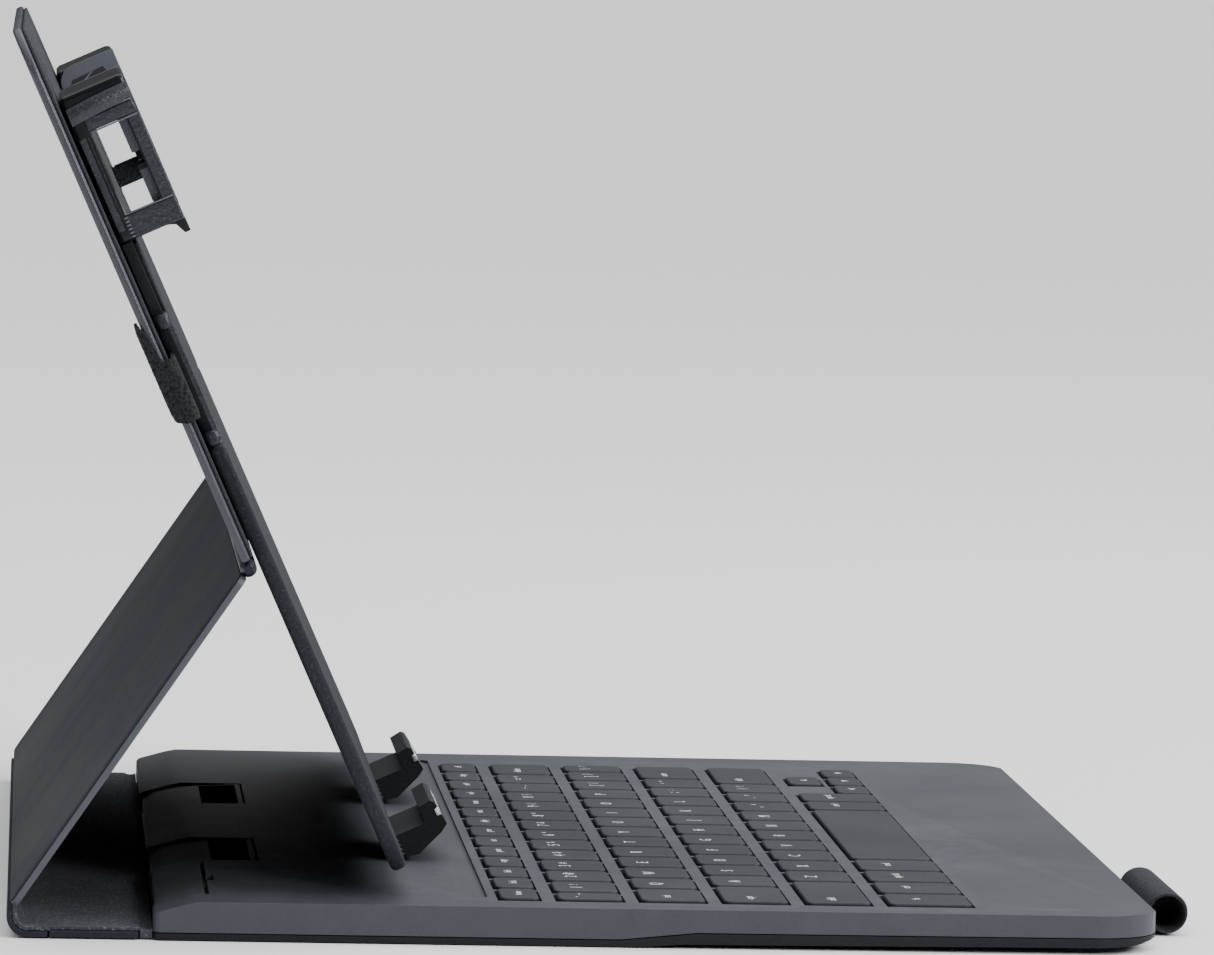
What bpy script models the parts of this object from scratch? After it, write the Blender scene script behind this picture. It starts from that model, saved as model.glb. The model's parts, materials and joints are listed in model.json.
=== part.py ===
# Tablet keyboard case: a keyboard deck with a folding stand and a spring tray
# that holds a tablet upright. Built open, in its typing position.
# Metres, +Z up. +X is the user's right, -Y is towards the user.
import math

import bmesh
import bpy
from mathutils import Matrix, Vector

MM = 0.001
GAP = 0.3

# whole case
ROW_SHIFT_Y = 89.1
HALF_WIDTH = 130.0
DECK_DEPTH = 200.0
DECK_TOP = 7.6
PLATE_UNDER = 6.5
FRONT_CORNER_R = 13.0
REAR_CORNER_R = 1.5
CUT_TOP = 9.0
SMOOTH_ANGLE = math.radians(35)

# fold lines, as (y, z)
FRONT_FOLD = (1.6, 1.2)
REAR_FOLD = (24.6, 4.2)
UPPER_FOLD = (-17.2, 73.1)
REAR_BEND_OUT = 4.1
REAR_BEND_IN = 3.0
KICK_FOOT = (27.4, 6.4)
KICK_HALF_THICK = 0.8
KICK_TOP = 1.7
UPPER_BEAD_R = 1.2
PANEL_HALF = 129.6
SPINE_FRONT = 1.2
SPINE_END = 18.7
LINING_HALF = 128.6
LINING_INSET = 0.2

# leaning tray: its frame has x across, s up the tray, d towards the user
LEAN = math.radians(24.6)
TRAY_ZERO = (-13.0, 86.8)
KEEPER_S = -84.0
KEEPER_D = 12.5
KEEPER_R = 1.2
COVER_LOW_S = -12.6
COVER_TOP_S = 100.5
COVER_CORNER_R = 10.0
COVER_BACK_D = -2.5
COVER_FRONT_D = -0.7
TRAY_HALF = 121.0
TRAY_BACK_D = 0.25
TRAY_FRONT_D = 3.4
TRAY_LOW_S = -82.6
CLIP_SEAT_S = 53.3
TRAY_TOP_S = 79.0
HOOK_X = 47.5
HOOK_WIDTH = 31.0
CLIP_INNER_X = 75.0
CLIP_OUTER_X = 124.0
CLIP_LOW_S = 53.7
CLIP_TOP_S = 84.7
CLIP_FRONT_D = 14.0
CLIP_WALL = 2.2
CLIP_BAY_D = (3.5, 11.2)
WINDOW_S = (58.6, 76.4)
PIN_BORE_PLAY = 0.15

# keys
KEY_LEFT = -120.5
KEY_RIGHT = 106.3
KEY_PITCH = 16.5
KEY_GAP = 2.6
KEY_LOW = 5.8
KEY_HIGH = 8.2
WEB_HIGH = 6.2
WELL_MARGIN = 0.5
ROW_PITCH = 16.5
ROW_TWO_BACK = -80.2
ROW_DEPTH = 12.9
FUNCTION_BACK = -68.7
FUNCTION_DEPTH = 7.8
BOTTOM_DEPTH = 16.7
ARROW_DEPTH = 7.4

for old in list(bpy.data.objects):
    bpy.data.objects.remove(old, do_unlink=True)

scene = bpy.context.scene
parts = bpy.data.collections.new("tablet_keyboard_case")
cutters = bpy.data.collections.new("cutters")
scene.collection.children.link(parts)
scene.collection.children.link(cutters)

COLOURS = {
    "shell": (0.10, 0.11, 0.13, 0.0, 0.55),
    "black_plastic": (0.02, 0.021, 0.024, 0.0, 0.5),
    "gloss_black": (0.012, 0.012, 0.014, 0.0, 0.2),
    "key": (0.085, 0.095, 0.11, 0.0, 0.5),
    "steel": (0.5, 0.5, 0.52, 1.0, 0.35),
    "board": (0.02, 0.12, 0.06, 0.0, 0.4),
    "rubber": (0.03, 0.03, 0.033, 0.0, 0.8),
    "felt": (0.045, 0.05, 0.06, 0.0, 0.95),
    "cover_skin": (0.07, 0.075, 0.09, 0.0, 0.5),
    "webbing": (0.02, 0.021, 0.025, 0.0, 0.95),
    "magnet": (0.35, 0.35, 0.37, 1.0, 0.3),
}


def material_for(obj, kind):
    """Give one object its own Principled material."""
    red, green, blue, metallic, roughness = COLOURS[kind]
    mat = bpy.data.materials.new(obj.name + "_" + kind)
    mat.use_nodes = True
    shader = mat.node_tree.nodes["Principled BSDF"]
    shader.inputs["Base Color"].default_value = (red, green, blue, 1.0)
    shader.inputs["Metallic"].default_value = metallic
    shader.inputs["Roughness"].default_value = roughness
    obj.data.materials.clear()
    obj.data.materials.append(mat)


def add_object(name, mesh, kind=None):
    """Put a mesh in the scene, as a part if it has a kind, else as a cutter."""
    obj = bpy.data.objects.new(name, mesh)
    if kind is None:
        cutters.objects.link(obj)
        obj.hide_render = True
        obj.display_type = "WIRE"
    else:
        parts.objects.link(obj)
        material_for(obj, kind)
    return obj


def mesh_from(bm, name):
    """Turn a bmesh into a named mesh."""
    bmesh.ops.recalc_face_normals(bm, faces=bm.faces)
    mesh = bpy.data.meshes.new(name)
    bm.to_mesh(mesh)
    bm.free()
    return mesh


def add_box_to(bm, low, high):
    """Add one box between two corners, in millimetres."""
    size = [high[i] - low[i] for i in range(3)]
    middle = [(high[i] + low[i]) / 2 for i in range(3)]
    place = Matrix.Translation(Vector(middle) * MM)
    place = place @ Matrix.Diagonal((size[0] * MM, size[1] * MM, size[2] * MM, 1.0))
    bmesh.ops.create_cube(bm, size=1.0, matrix=place)


def box(name, low, high, kind=None):
    """A box between two corners."""
    bm = bmesh.new()
    add_box_to(bm, low, high)
    return add_object(name, mesh_from(bm, name), kind)


def boxes(name, corners, kind=None):
    """Several boxes in one object."""
    bm = bmesh.new()
    for low, high in corners:
        add_box_to(bm, low, high)
    return add_object(name, mesh_from(bm, name), kind)


def cylinder(name, centre, radius, length, axis, kind=None, sides=24):
    """A round bar about X or Z, centred on a point."""
    bm = bmesh.new()
    turn = Matrix.Identity(4)
    if axis == "X":
        turn = Matrix.Rotation(math.radians(90), 4, "Y")
    place = Matrix.Translation(Vector(centre) * MM) @ turn
    bmesh.ops.create_cone(
        bm,
        cap_ends=True,
        cap_tris=False,
        segments=sides,
        radius1=radius * MM,
        radius2=radius * MM,
        depth=length * MM,
        matrix=place,
    )
    obj = add_object(name, mesh_from(bm, name), kind)
    obj.data.shade_smooth()
    obj.data.set_sharp_from_angle(angle=SMOOTH_ANGLE)
    return obj


# the frames in which outlines are drawn: side (y, z), plan (x, y), strip (x, z)
SIDE = Matrix(((0, 0, 1, 0), (1, 0, 0, 0), (0, 1, 0, 0), (0, 0, 0, 1)))
PLAN = Matrix.Identity(4)
STRIP = Matrix(((1, 0, 0, 0), (0, 0, 1, 0), (0, 1, 0, 0), (0, 0, 0, 1)))


def outline_mesh(name, outline, low, high, turn):
    """Extrude a flat outline from low to high, then turn it into its frame."""
    curve = bpy.data.curves.new(name, "CURVE")
    curve.dimensions = "2D"
    curve.fill_mode = "BOTH"
    curve.extrude = (high - low) / 2 * MM
    line = curve.splines.new("POLY")
    line.points.add(len(outline) - 1)
    for point, (a, b) in zip(line.points, outline):
        point.co = (a * MM, b * MM, 0.0, 1.0)
    line.use_cyclic_u = True
    holder = bpy.data.objects.new(name + "_outline", curve)
    scene.collection.objects.link(holder)
    bpy.context.view_layer.update()
    mesh = bpy.data.meshes.new_from_object(holder.evaluated_get(bpy.context.evaluated_depsgraph_get()))
    bpy.data.objects.remove(holder, do_unlink=True)
    mesh.name = name
    lift = Matrix.Translation((0.0, 0.0, (high + low) / 2 * MM))
    mesh.transform(turn @ lift)
    bm = bmesh.new()
    bm.from_mesh(mesh)
    bmesh.ops.remove_doubles(bm, verts=bm.verts, dist=0.000001)
    bmesh.ops.recalc_face_normals(bm, faces=bm.faces)
    bm.to_mesh(mesh)
    bm.free()
    return mesh


def profile(name, outline, low_x, high_x, kind=None):
    """A side outline of (y, z) points, pushed along X."""
    return add_object(name, outline_mesh(name, outline, low_x, high_x, SIDE), kind)


def plate(name, outline, low_z, high_z, kind=None):
    """A plan outline of (x, y) points, pushed along Z."""
    return add_object(name, outline_mesh(name, outline, low_z, high_z, PLAN), kind)


def strip(name, outline, low_y, high_y, kind=None):
    """An end outline of (x, z) points, pushed along Y."""
    return add_object(name, outline_mesh(name, outline, low_y, high_y, STRIP), kind)


def rounded(low_x, high_x, low_y, high_y, radii, steps=5):
    """Rectangle with rounded corners. radii: low-low, high-low, high-high, low-high."""
    corners = [
        (low_x, low_y, 1, 1, 180),
        (high_x, low_y, -1, 1, 270),
        (high_x, high_y, -1, -1, 0),
        (low_x, high_y, 1, -1, 90),
    ]
    points = []
    for (x, y, side_x, side_y, start), radius in zip(corners, radii):
        if radius <= 0:
            points.append((x, y))
            continue
        for i in range(steps + 1):
            angle = math.radians(start + 90 * i / steps)
            points.append(
                (
                    x + side_x * radius + radius * math.cos(angle),
                    y + side_y * radius + radius * math.sin(angle),
                )
            )
    return points


def combine(obj, other, how):
    """Add one exact Boolean."""
    step = obj.modifiers.new(how.lower() + "_" + other.name, "BOOLEAN")
    step.operation = how
    step.solver = "EXACT"
    step.object = other


def ease(obj, width, segments=2, angle=35):
    """Break the sharp edges of an object."""
    step = obj.modifiers.new("eased_edges", "BEVEL")
    step.width = width * MM
    step.segments = segments
    step.limit_method = "ANGLE"
    step.angle_limit = math.radians(angle)


def axis_point(name, y, z, turn=0.0):
    """An empty on a fold line, which the pieces that turn there hang from."""
    point = bpy.data.objects.new(name, None)
    parts.objects.link(point)
    point.location = (0.0, y * MM, z * MM)
    point.rotation_euler = (turn, 0.0, 0.0)
    point.empty_display_size = 0.02
    return point


row = axis_point("case_frame", ROW_SHIFT_Y, 0.0)


def hang(obj, parent, offset=(0.0, 0.0, 0.0)):
    """Parent an object, with its place given in the parent's frame in millimetres."""
    obj.parent = parent
    obj.location = Vector(offset) * MM


# keyboard deck: the top case
deck_plan = rounded(
    -HALF_WIDTH,
    HALF_WIDTH,
    -DECK_DEPTH,
    0.0,
    (FRONT_CORNER_R, FRONT_CORNER_R, REAR_CORNER_R, REAR_CORNER_R),
    6,
)

case_side = [
    (0.0, 1.5),
    (0.0, 4.9),
    (-0.6, 5.4),
    (-6.6, 7.1),
    (-9.0, DECK_TOP),
    (-199.4, DECK_TOP),
    (-200.0, 7.0),
    (-200.0, 3.2),
    (-107.0, 3.0),
    (-92.0, 1.5),
]
deck_top_case = profile("deck_top_case", case_side, -HALF_WIDTH, HALF_WIDTH, "shell")
hang(deck_top_case, row)
case_plan = plate("case_plan", deck_plan, -2.0, 12.0)
hang(case_plan, row)
combine(deck_top_case, case_plan, "INTERSECT")

CAVITY_HALF = 127.4
cavity = boxes(
    "case_cavity",
    [
        ((-CAVITY_HALF, -166.6, -1.0), (CAVITY_HALF, -28.0, PLATE_UNDER)),
        ((-116.0, -196.0, -1.0), (116.0, -172.0, 6.0)),
    ],
)
hang(cavity, row)
combine(deck_top_case, cavity, "DIFFERENCE")

SOCKET_HALF = 18.2
SOCKET_FRONT = -22.4
notches = boxes(
    "socket_notches",
    [
        ((-HOOK_X - SOCKET_HALF, SOCKET_FRONT, -1.0), (-HOOK_X + SOCKET_HALF, 2.0, CUT_TOP)),
        ((HOOK_X - SOCKET_HALF, SOCKET_FRONT, -1.0), (HOOK_X + SOCKET_HALF, 2.0, CUT_TOP)),
    ],
)
hang(notches, row)
combine(deck_top_case, notches, "DIFFERENCE")

BAY_LEFT = -117.6
BAY_RIGHT = -68.6
battery_bay = boxes(
    "battery_bay",
    [
        ((BAY_LEFT, -24.6, -1.0), (BAY_RIGHT, 2.0, 6.2)),
    ],
)
hang(battery_bay, row)
combine(deck_top_case, battery_bay, "DIFFERENCE")
DOOR_FRONT = -10.3
door_opening = boxes(
    "door_opening",
    [
        ((BAY_LEFT, DOOR_FRONT - 0.8, 5.0), (BAY_RIGHT, 2.0, CUT_TOP)),
    ],
)
hang(door_opening, row)
combine(deck_top_case, door_opening, "DIFFERENCE")
finger_notch = box("finger_notch", (-97.0, -12.6, 5.6), (-88.0, -10.0, CUT_TOP))
hang(finger_notch, row)
combine(deck_top_case, finger_notch, "DIFFERENCE")

trough = plate("trough_cut", rounded(-117.0, 117.0, -66.4, -62.2, (2, 2, 2, 2), 3), 7.0, CUT_TOP)
hang(trough, row)
combine(deck_top_case, trough, "DIFFERENCE")

# shallow faceted hollows in the palm rest, which face the tray's clips when closed
for side in (-1, 1):
    bm = bmesh.new()
    rim = [(119.0, -163.4), (60.0, -164.6), (70.0, -184.0), (119.0, -193.0)]
    floor = [(115.0, -167.8, 6.8), (92.0, -168.7, 6.8), (82.5, -178.7, 6.95)]
    for x, y in rim:
        bm.verts.new((side * x * MM, y * MM, 7.62 * MM))
        bm.verts.new((side * x * MM, y * MM, CUT_TOP * MM))
    for x, y, z in floor:
        bm.verts.new((side * x * MM, y * MM, z * MM))
    bmesh.ops.convex_hull(bm, input=bm.verts)
    hollow_name = "palm_hollow_left" if side < 0 else "palm_hollow_right"
    palm_hollow = add_object(hollow_name, mesh_from(bm, hollow_name))
    hang(palm_hollow, row)
    combine(deck_top_case, palm_hollow, "DIFFERENCE")

# keys, as left and right edges in each row


def row_cells(first_width, count, pitch=KEY_PITCH):
    """Left and right of each key in a row: a first key, equal keys, a last one."""
    cells = [(KEY_LEFT, KEY_LEFT + first_width)]
    start = KEY_LEFT + first_width + KEY_GAP
    for i in range(count):
        cells.append((start + i * pitch, start + (i + 1) * pitch - KEY_GAP))
    cells.append((start + count * pitch, KEY_RIGHT))
    return cells


function_pitch = (KEY_RIGHT - KEY_LEFT + KEY_GAP) / 14
function_row = [
    (KEY_LEFT + i * function_pitch, KEY_LEFT + (i + 1) * function_pitch - KEY_GAP)
    for i in range(14)
]
GRAVE_WIDTH = 9.1
TAB_WIDTH = 16.3
CAPS_WIDTH = 22.0
SHIFT_WIDTH = 31.2
number_row = row_cells(GRAVE_WIDTH, 12)
upper_row = row_cells(TAB_WIDTH, 12)
home_row = row_cells(CAPS_WIDTH, 11)
lower_row = row_cells(SHIFT_WIDTH, 10)
bottom_left = [(-120.5, -105.6), (-103.0, -88.1), (-85.5, -70.6), (-68.0, -53.1)]
space_cell = (-50.5, 30.4)
bottom_right = [(33.0, 45.8), (48.2, 61.0)]
arrow_cells = [(63.3, 76.1), (78.5, 91.3), (93.5, 106.3)]

function_y = (FUNCTION_BACK - FUNCTION_DEPTH, FUNCTION_BACK)
number_y = (ROW_TWO_BACK - ROW_DEPTH, ROW_TWO_BACK)
upper_y = (number_y[0] - ROW_PITCH, number_y[1] - ROW_PITCH)
home_y = (upper_y[0] - ROW_PITCH, upper_y[1] - ROW_PITCH)
lower_y = (home_y[0] - ROW_PITCH, home_y[1] - ROW_PITCH)
bottom_back = lower_y[1] - ROW_PITCH
bottom_y = (bottom_back - BOTTOM_DEPTH, bottom_back)
arrow_low_y = (bottom_y[0], bottom_y[0] + ARROW_DEPTH)
arrow_up_y = (bottom_y[1] - ARROW_DEPTH, bottom_y[1])

# node name, list of key cells, (front, back)
key_plan = [
    ("function_keys", function_row, function_y),
    ("number_keys", number_row[:-1], number_y),
    ("backspace_key", number_row[-1:], number_y),
    ("tab_key", upper_row[:1], upper_y),
    ("upper_letter_keys", upper_row[1:], upper_y),
    ("caps_lock_key", home_row[:1], home_y),
    ("home_letter_keys", home_row[1:-1], home_y),
    ("enter_key", home_row[-1:], home_y),
    ("left_shift_key", lower_row[:1], lower_y),
    ("lower_letter_keys", lower_row[1:-1], lower_y),
    ("right_shift_key", lower_row[-1:], lower_y),
    ("fn_key", bottom_left[0:1], bottom_y),
    ("control_key", bottom_left[1:2], bottom_y),
    ("left_option_key", bottom_left[2:3], bottom_y),
    ("left_command_key", bottom_left[3:4], bottom_y),
    ("space_bar", [space_cell], bottom_y),
    ("right_command_key", bottom_right[0:1], bottom_y),
    ("right_option_key", bottom_right[1:2], bottom_y),
    ("arrow_left_key", arrow_cells[0:1], arrow_low_y),
    ("arrow_down_key", arrow_cells[1:2], arrow_low_y),
    ("arrow_up_key", arrow_cells[1:2], arrow_up_y),
    ("arrow_right_key", arrow_cells[2:3], arrow_low_y),
]

well_corners = []
for key_name, cells, (front, back) in key_plan:
    middle_y = (front + back) / 2
    first_x = (cells[0][0] + cells[-1][1]) / 2
    bm = bmesh.new()
    for left, right in cells:
        # a cap with rounded corners, and the well it sinks into
        well_corners.append(
            (
                (left - WELL_MARGIN, front - WELL_MARGIN, PLATE_UNDER - 0.4),
                (right + WELL_MARGIN, back + WELL_MARGIN, CUT_TOP),
            )
        )
        made = bmesh.ops.create_cube(
            bm,
            size=1.0,
            matrix=Matrix.Translation(
                Vector(
                    (
                        (left + right) / 2 - first_x,
                        (front + back) / 2 - middle_y,
                        (KEY_LOW + KEY_HIGH) / 2 - KEY_LOW,
                    )
                )
                * MM
            )
            @ Matrix.Diagonal(
                (
                    (right - left) * MM,
                    (back - front) * MM,
                    (KEY_HIGH - KEY_LOW) * MM,
                    1.0,
                )
            ),
        )
        corner_edges = [
            e
            for e in {e for v in made["verts"] for e in v.link_edges}
            if abs(e.verts[0].co.z - e.verts[1].co.z) > 0.001
        ]
        bmesh.ops.bevel(
            bm, geom=corner_edges, offset=1.2 * MM, segments=2, affect="EDGES", profile=0.5
        )
    caps = mesh_from(bm, key_name)
    keys = add_object(key_name, caps, "key")
    if len(cells) > 1:
        web = box(
            key_name + "_web",
            (cells[0][0] + 2 - first_x, -1.5, 0.0),
            (cells[-1][1] - 2 - first_x, 1.5, WEB_HIGH - KEY_LOW),
        )
        combine(keys, web, "UNION")
        hang(web, row, (first_x, middle_y, KEY_LOW))
    hang(keys, row, (first_x, middle_y, KEY_LOW))

key_wells = boxes("key_wells", well_corners)
hang(key_wells, row)
combine(deck_top_case, key_wells, "DIFFERENCE")

# keyboard deck: the bottom plate and what is inside
plate_side = [
    (-0.2, 0.0),
    (-0.2, 1.3),
    (-92.2, 1.3),
    (-107.2, 2.8),
    (-200.0, 3.0),
    (-199.6, 2.4),
    (-195.0, 1.5),
    (-188.0, 1.2),
    (-104.0, 0.6),
    (-96.0, 0.0),
]
deck_bottom_plate = profile("deck_bottom_plate", plate_side, -HALF_WIDTH, HALF_WIDTH, "black_plastic")
hang(deck_bottom_plate, row)
plate_plan = plate("plate_plan", deck_plan, -3.0, 5.0)
hang(plate_plan, row)
combine(deck_bottom_plate, plate_plan, "INTERSECT")

screw_spots = [(-124.0, -16.0, 0.0), (124.0, -16.0, 0.0), (-122.0, -186.0, 1.15), (122.0, -186.0, 1.15)]
for number, (x, y, under) in enumerate(screw_spots):
    hole = cylinder(f"screw_hole_{number}", (x, y, 2.4), 0.95, 8.0, "Z", None, 16)
    sink = cylinder(f"screw_sink_{number}", (x, y, under - 0.65), 2.1, 2.7, "Z", None, 20)
    hang(hole, row)
    hang(sink, row)
    combine(deck_bottom_plate, hole, "DIFFERENCE")
    combine(deck_bottom_plate, sink, "DIFFERENCE")
    top_hole = cylinder(f"screw_thread_{number}", (x, y, 2.9), 0.95, 5.0, "Z", None, 16)
    hang(top_hole, row)
    combine(deck_top_case, top_hole, "DIFFERENCE")
    shank_low = under + 0.5
    head = cylinder(f"case_screw_{number + 1}", (x, y, under + 0.35), 1.8, 0.5, "Z", "steel", 20)
    shank = cylinder(f"screw_shank_{number}", (x, y, (shank_low + 5.0) / 2), 0.8, 5.0 - shank_low, "Z", None, 16)
    slot = box(f"screw_slot_{number}", (x - 1.3, y - 0.2, under - 0.5), (x + 1.3, y + 0.2, under + 0.25))
    hang(head, row)
    hang(shank, row)
    hang(slot, row)
    combine(head, shank, "UNION")
    combine(head, slot, "DIFFERENCE")

key_support_plate = box("key_support_plate", (-122.5, -165.4, 3.3), (108.4, -66.6, 3.8), "steel")
hang(key_support_plate, row)
key_membrane = box("key_membrane", (-122.0, -165.0, 3.95), (107.9, -67.0, 4.25), "rubber")
hang(key_membrane, row)
controller_board = box("controller_board", (-60.0, -56.0, 1.7), (60.0, -31.0, 2.7), "board")
hang(controller_board, row)
for side, name in ((-1, "seat_magnet_left"), (1, "seat_magnet_right")):
    magnet = box(name, (side * HOOK_X - 12.0, -61.0, 5.0), (side * HOOK_X + 12.0, -54.0, 6.3), "magnet")
    hang(magnet, row)
    ease(magnet, 0.2, 1)

CELL_R = 10.0
for x, name in ((-105.0, "coin_cell_outer"), (-81.4, "coin_cell_inner")):
    cell = cylinder(name, (x, -12.7, 3.1), CELL_R, 3.0, "Z", "steel", 32)
    hang(cell, row)
    ease(cell, 0.3, 2, 60)

DOOR_LOW = 2.7
door_side = [
    (-0.3, DOOR_LOW),
    (-0.3, 4.9),
    (-0.8, 5.4),
    (-6.6, 7.1),
    (-9.0, DECK_TOP),
    (DOOR_FRONT, DECK_TOP),
    (DOOR_FRONT, 6.0),
    (DOOR_FRONT - 3.4, 6.0),
    (DOOR_FRONT - 3.4, 5.0),
    (-7.6, 5.0),
    (-2.2, 4.9),
    (-1.5, 4.3),
    (-1.5, DOOR_LOW),
]
battery_door = profile("battery_door", door_side, BAY_LEFT + GAP, BAY_RIGHT - GAP, "shell")
hang(battery_door, row)

socket_side = [
    (-0.5, 1.6),
    (-0.5, 4.0),
    (-3.0, 5.5),
    (-8.0, 6.7),
    (-12.4, 7.1),
    (SOCKET_FRONT + GAP, 7.5),
    (SOCKET_FRONT + GAP, 1.6),
]
for side, name in ((-1, "hook_socket_left"), (1, "hook_socket_right")):
    middle = side * HOOK_X
    socket = profile(name, socket_side, middle - SOCKET_HALF + GAP, middle + SOCKET_HALF - GAP, "black_plastic")
    hang(socket, row)
    well = box(name + "_well", (middle - 16.8, -20.8, 3.0), (middle + 16.8, -13.0, CUT_TOP))
    hang(well, row)
    combine(socket, well, "DIFFERENCE")

for side, name in ((-1, "front_foot_left"), (1, "front_foot_right")):
    foot = cylinder(name, (side * 104.0, -176.0, 0.42), 5.0, 0.84, "Z", "rubber", 28)
    hang(foot, row)

LOOP_Y = -205.0
LOOP_Z = 4.4
LOOP_OUT = 4.3
LOOP_BORE = 3.4
LOOP_X = -80.5
LOOP_LENGTH = 41.0
stylus_loop = cylinder("stylus_loop", (LOOP_X, LOOP_Y, LOOP_Z), LOOP_OUT, LOOP_LENGTH, "X", "rubber", 32)
hang(stylus_loop, row)
loop_tab = box("loop_tab", (-101.0, LOOP_Y + 2.0, 3.4), (-60.0, -200.25, 5.6))
hang(loop_tab, row)
combine(stylus_loop, loop_tab, "UNION")
loop_bore = cylinder("loop_bore", (LOOP_X, LOOP_Y, LOOP_Z), LOOP_BORE, 60.0, "X", None, 32)
hang(loop_bore, row)
combine(stylus_loop, loop_bore, "DIFFERENCE")

# spine and kick panels, each hung from its fold
spine_axis = axis_point("spine_axis", *FRONT_FOLD)
hang(spine_axis, row, (0.0, FRONT_FOLD[0], FRONT_FOLD[1]))
spine_board = plate(
    "spine_board",
    rounded(-PANEL_HALF, PANEL_HALF, SPINE_FRONT, SPINE_END, (0, 0, 0, 0)),
    -1.1,
    0.3,
    "cover_skin",
)
hang(spine_board, spine_axis)
spine_lining = plate(
    "spine_lining",
    rounded(-LINING_HALF, LINING_HALF, SPINE_FRONT + LINING_INSET, SPINE_END - 0.3, (0, 0, 0, 0)),
    0.35,
    0.95,
    "felt",
)
hang(spine_lining, spine_axis)
bend_centre = (REAR_FOLD[0] - FRONT_FOLD[0], REAR_FOLD[1] - FRONT_FOLD[1])
BEND_TOP = 12
BEND_LOW = -90
BEND_STEPS = 10
SPINE_REAR = 19.0


def bend_point(radius, degrees):
    """A point on the bend of the rear fold, as (y, z) from the spine's fold line."""
    angle = math.radians(degrees)
    return (bend_centre[0] + radius * math.cos(angle), bend_centre[1] + radius * math.sin(angle))


# bent cloth that carries the spine round to the kick panel's foot
bend_turns = [BEND_TOP + (BEND_LOW - BEND_TOP) * i / BEND_STEPS for i in range(BEND_STEPS + 1)]
rear_side = [bend_point(REAR_BEND_OUT, turn) for turn in bend_turns]
rear_side.append((SPINE_REAR, bend_centre[1] - REAR_BEND_OUT))
rear_side.append((SPINE_REAR, bend_centre[1] - REAR_BEND_IN))
rear_side += [bend_point(REAR_BEND_IN, turn) for turn in reversed(bend_turns)]
rear_fold = profile("rear_fold", rear_side, -PANEL_HALF, PANEL_HALF, "webbing")
rear_fold.data.shade_smooth()
rear_fold.data.set_sharp_from_angle(angle=SMOOTH_ANGLE)
hang(rear_fold, spine_axis)
front_fold = profile(
    "front_fold",
    [(0.12, 0.1), (2.5, 0.1), (2.5, 1.3), (0.12, 1.3)],
    -PANEL_HALF,
    PANEL_HALF,
    "webbing",
)
hang(front_fold, row)

kick_run = Vector((KICK_FOOT[0] - UPPER_FOLD[0], KICK_FOOT[1] - UPPER_FOLD[1]))
kick_turn = math.atan2(kick_run.y, kick_run.x)
kick_axis = axis_point("kick_axis", *UPPER_FOLD)
hang(kick_axis, row, (0.0, UPPER_FOLD[0], UPPER_FOLD[1]))
kick_axis.rotation_euler = (kick_turn, 0.0, 0.0)
kick_board = plate(
    "kick_board",
    rounded(-HALF_WIDTH, HALF_WIDTH, KICK_TOP, kick_run.length, (0, 0, 0, 0)),
    -KICK_HALF_THICK,
    KICK_HALF_THICK,
    "cover_skin",
)
hang(kick_board, kick_axis)

# leaning tray, drawn in its own frame
tray_turn = math.pi / 2 - LEAN
up = Vector((math.sin(LEAN), math.cos(LEAN)))
forward = Vector((-math.cos(LEAN), math.sin(LEAN)))
keeper = Vector(TRAY_ZERO) + KEEPER_S * up + KEEPER_D * forward
tray_axis = axis_point("tray_axis", keeper.x, keeper.y)
hang(tray_axis, row, (0.0, keeper.x, keeper.y))
tray_axis.rotation_euler = (tray_turn, 0.0, 0.0)
TRAY_OFFSET = (0.0, -KEEPER_S, -KEEPER_D)


def hang_on_tray(obj):
    """Objects of the tray are drawn in (x, s, d)."""
    hang(obj, tray_axis, TRAY_OFFSET)


cover_board = plate(
    "cover_board",
    rounded(-HALF_WIDTH, HALF_WIDTH, COVER_LOW_S, COVER_TOP_S, (0, 0, COVER_CORNER_R, COVER_CORNER_R), 6),
    COVER_BACK_D,
    COVER_FRONT_D,
    "cover_skin",
)
hang_on_tray(cover_board)
cover_lining = plate(
    "cover_lining",
    rounded(-129.2, 129.2, COVER_LOW_S + 0.6, COVER_TOP_S - 0.8, (0, 0, 9.2, 9.2), 6),
    -0.65,
    0.0,
    "felt",
)
hang_on_tray(cover_lining)
upper_fold = cylinder("upper_fold", (0.0, -14.2, -1.9), UPPER_BEAD_R, 2 * PANEL_HALF, "X", "webbing", 20)
hang_on_tray(upper_fold)

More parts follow.
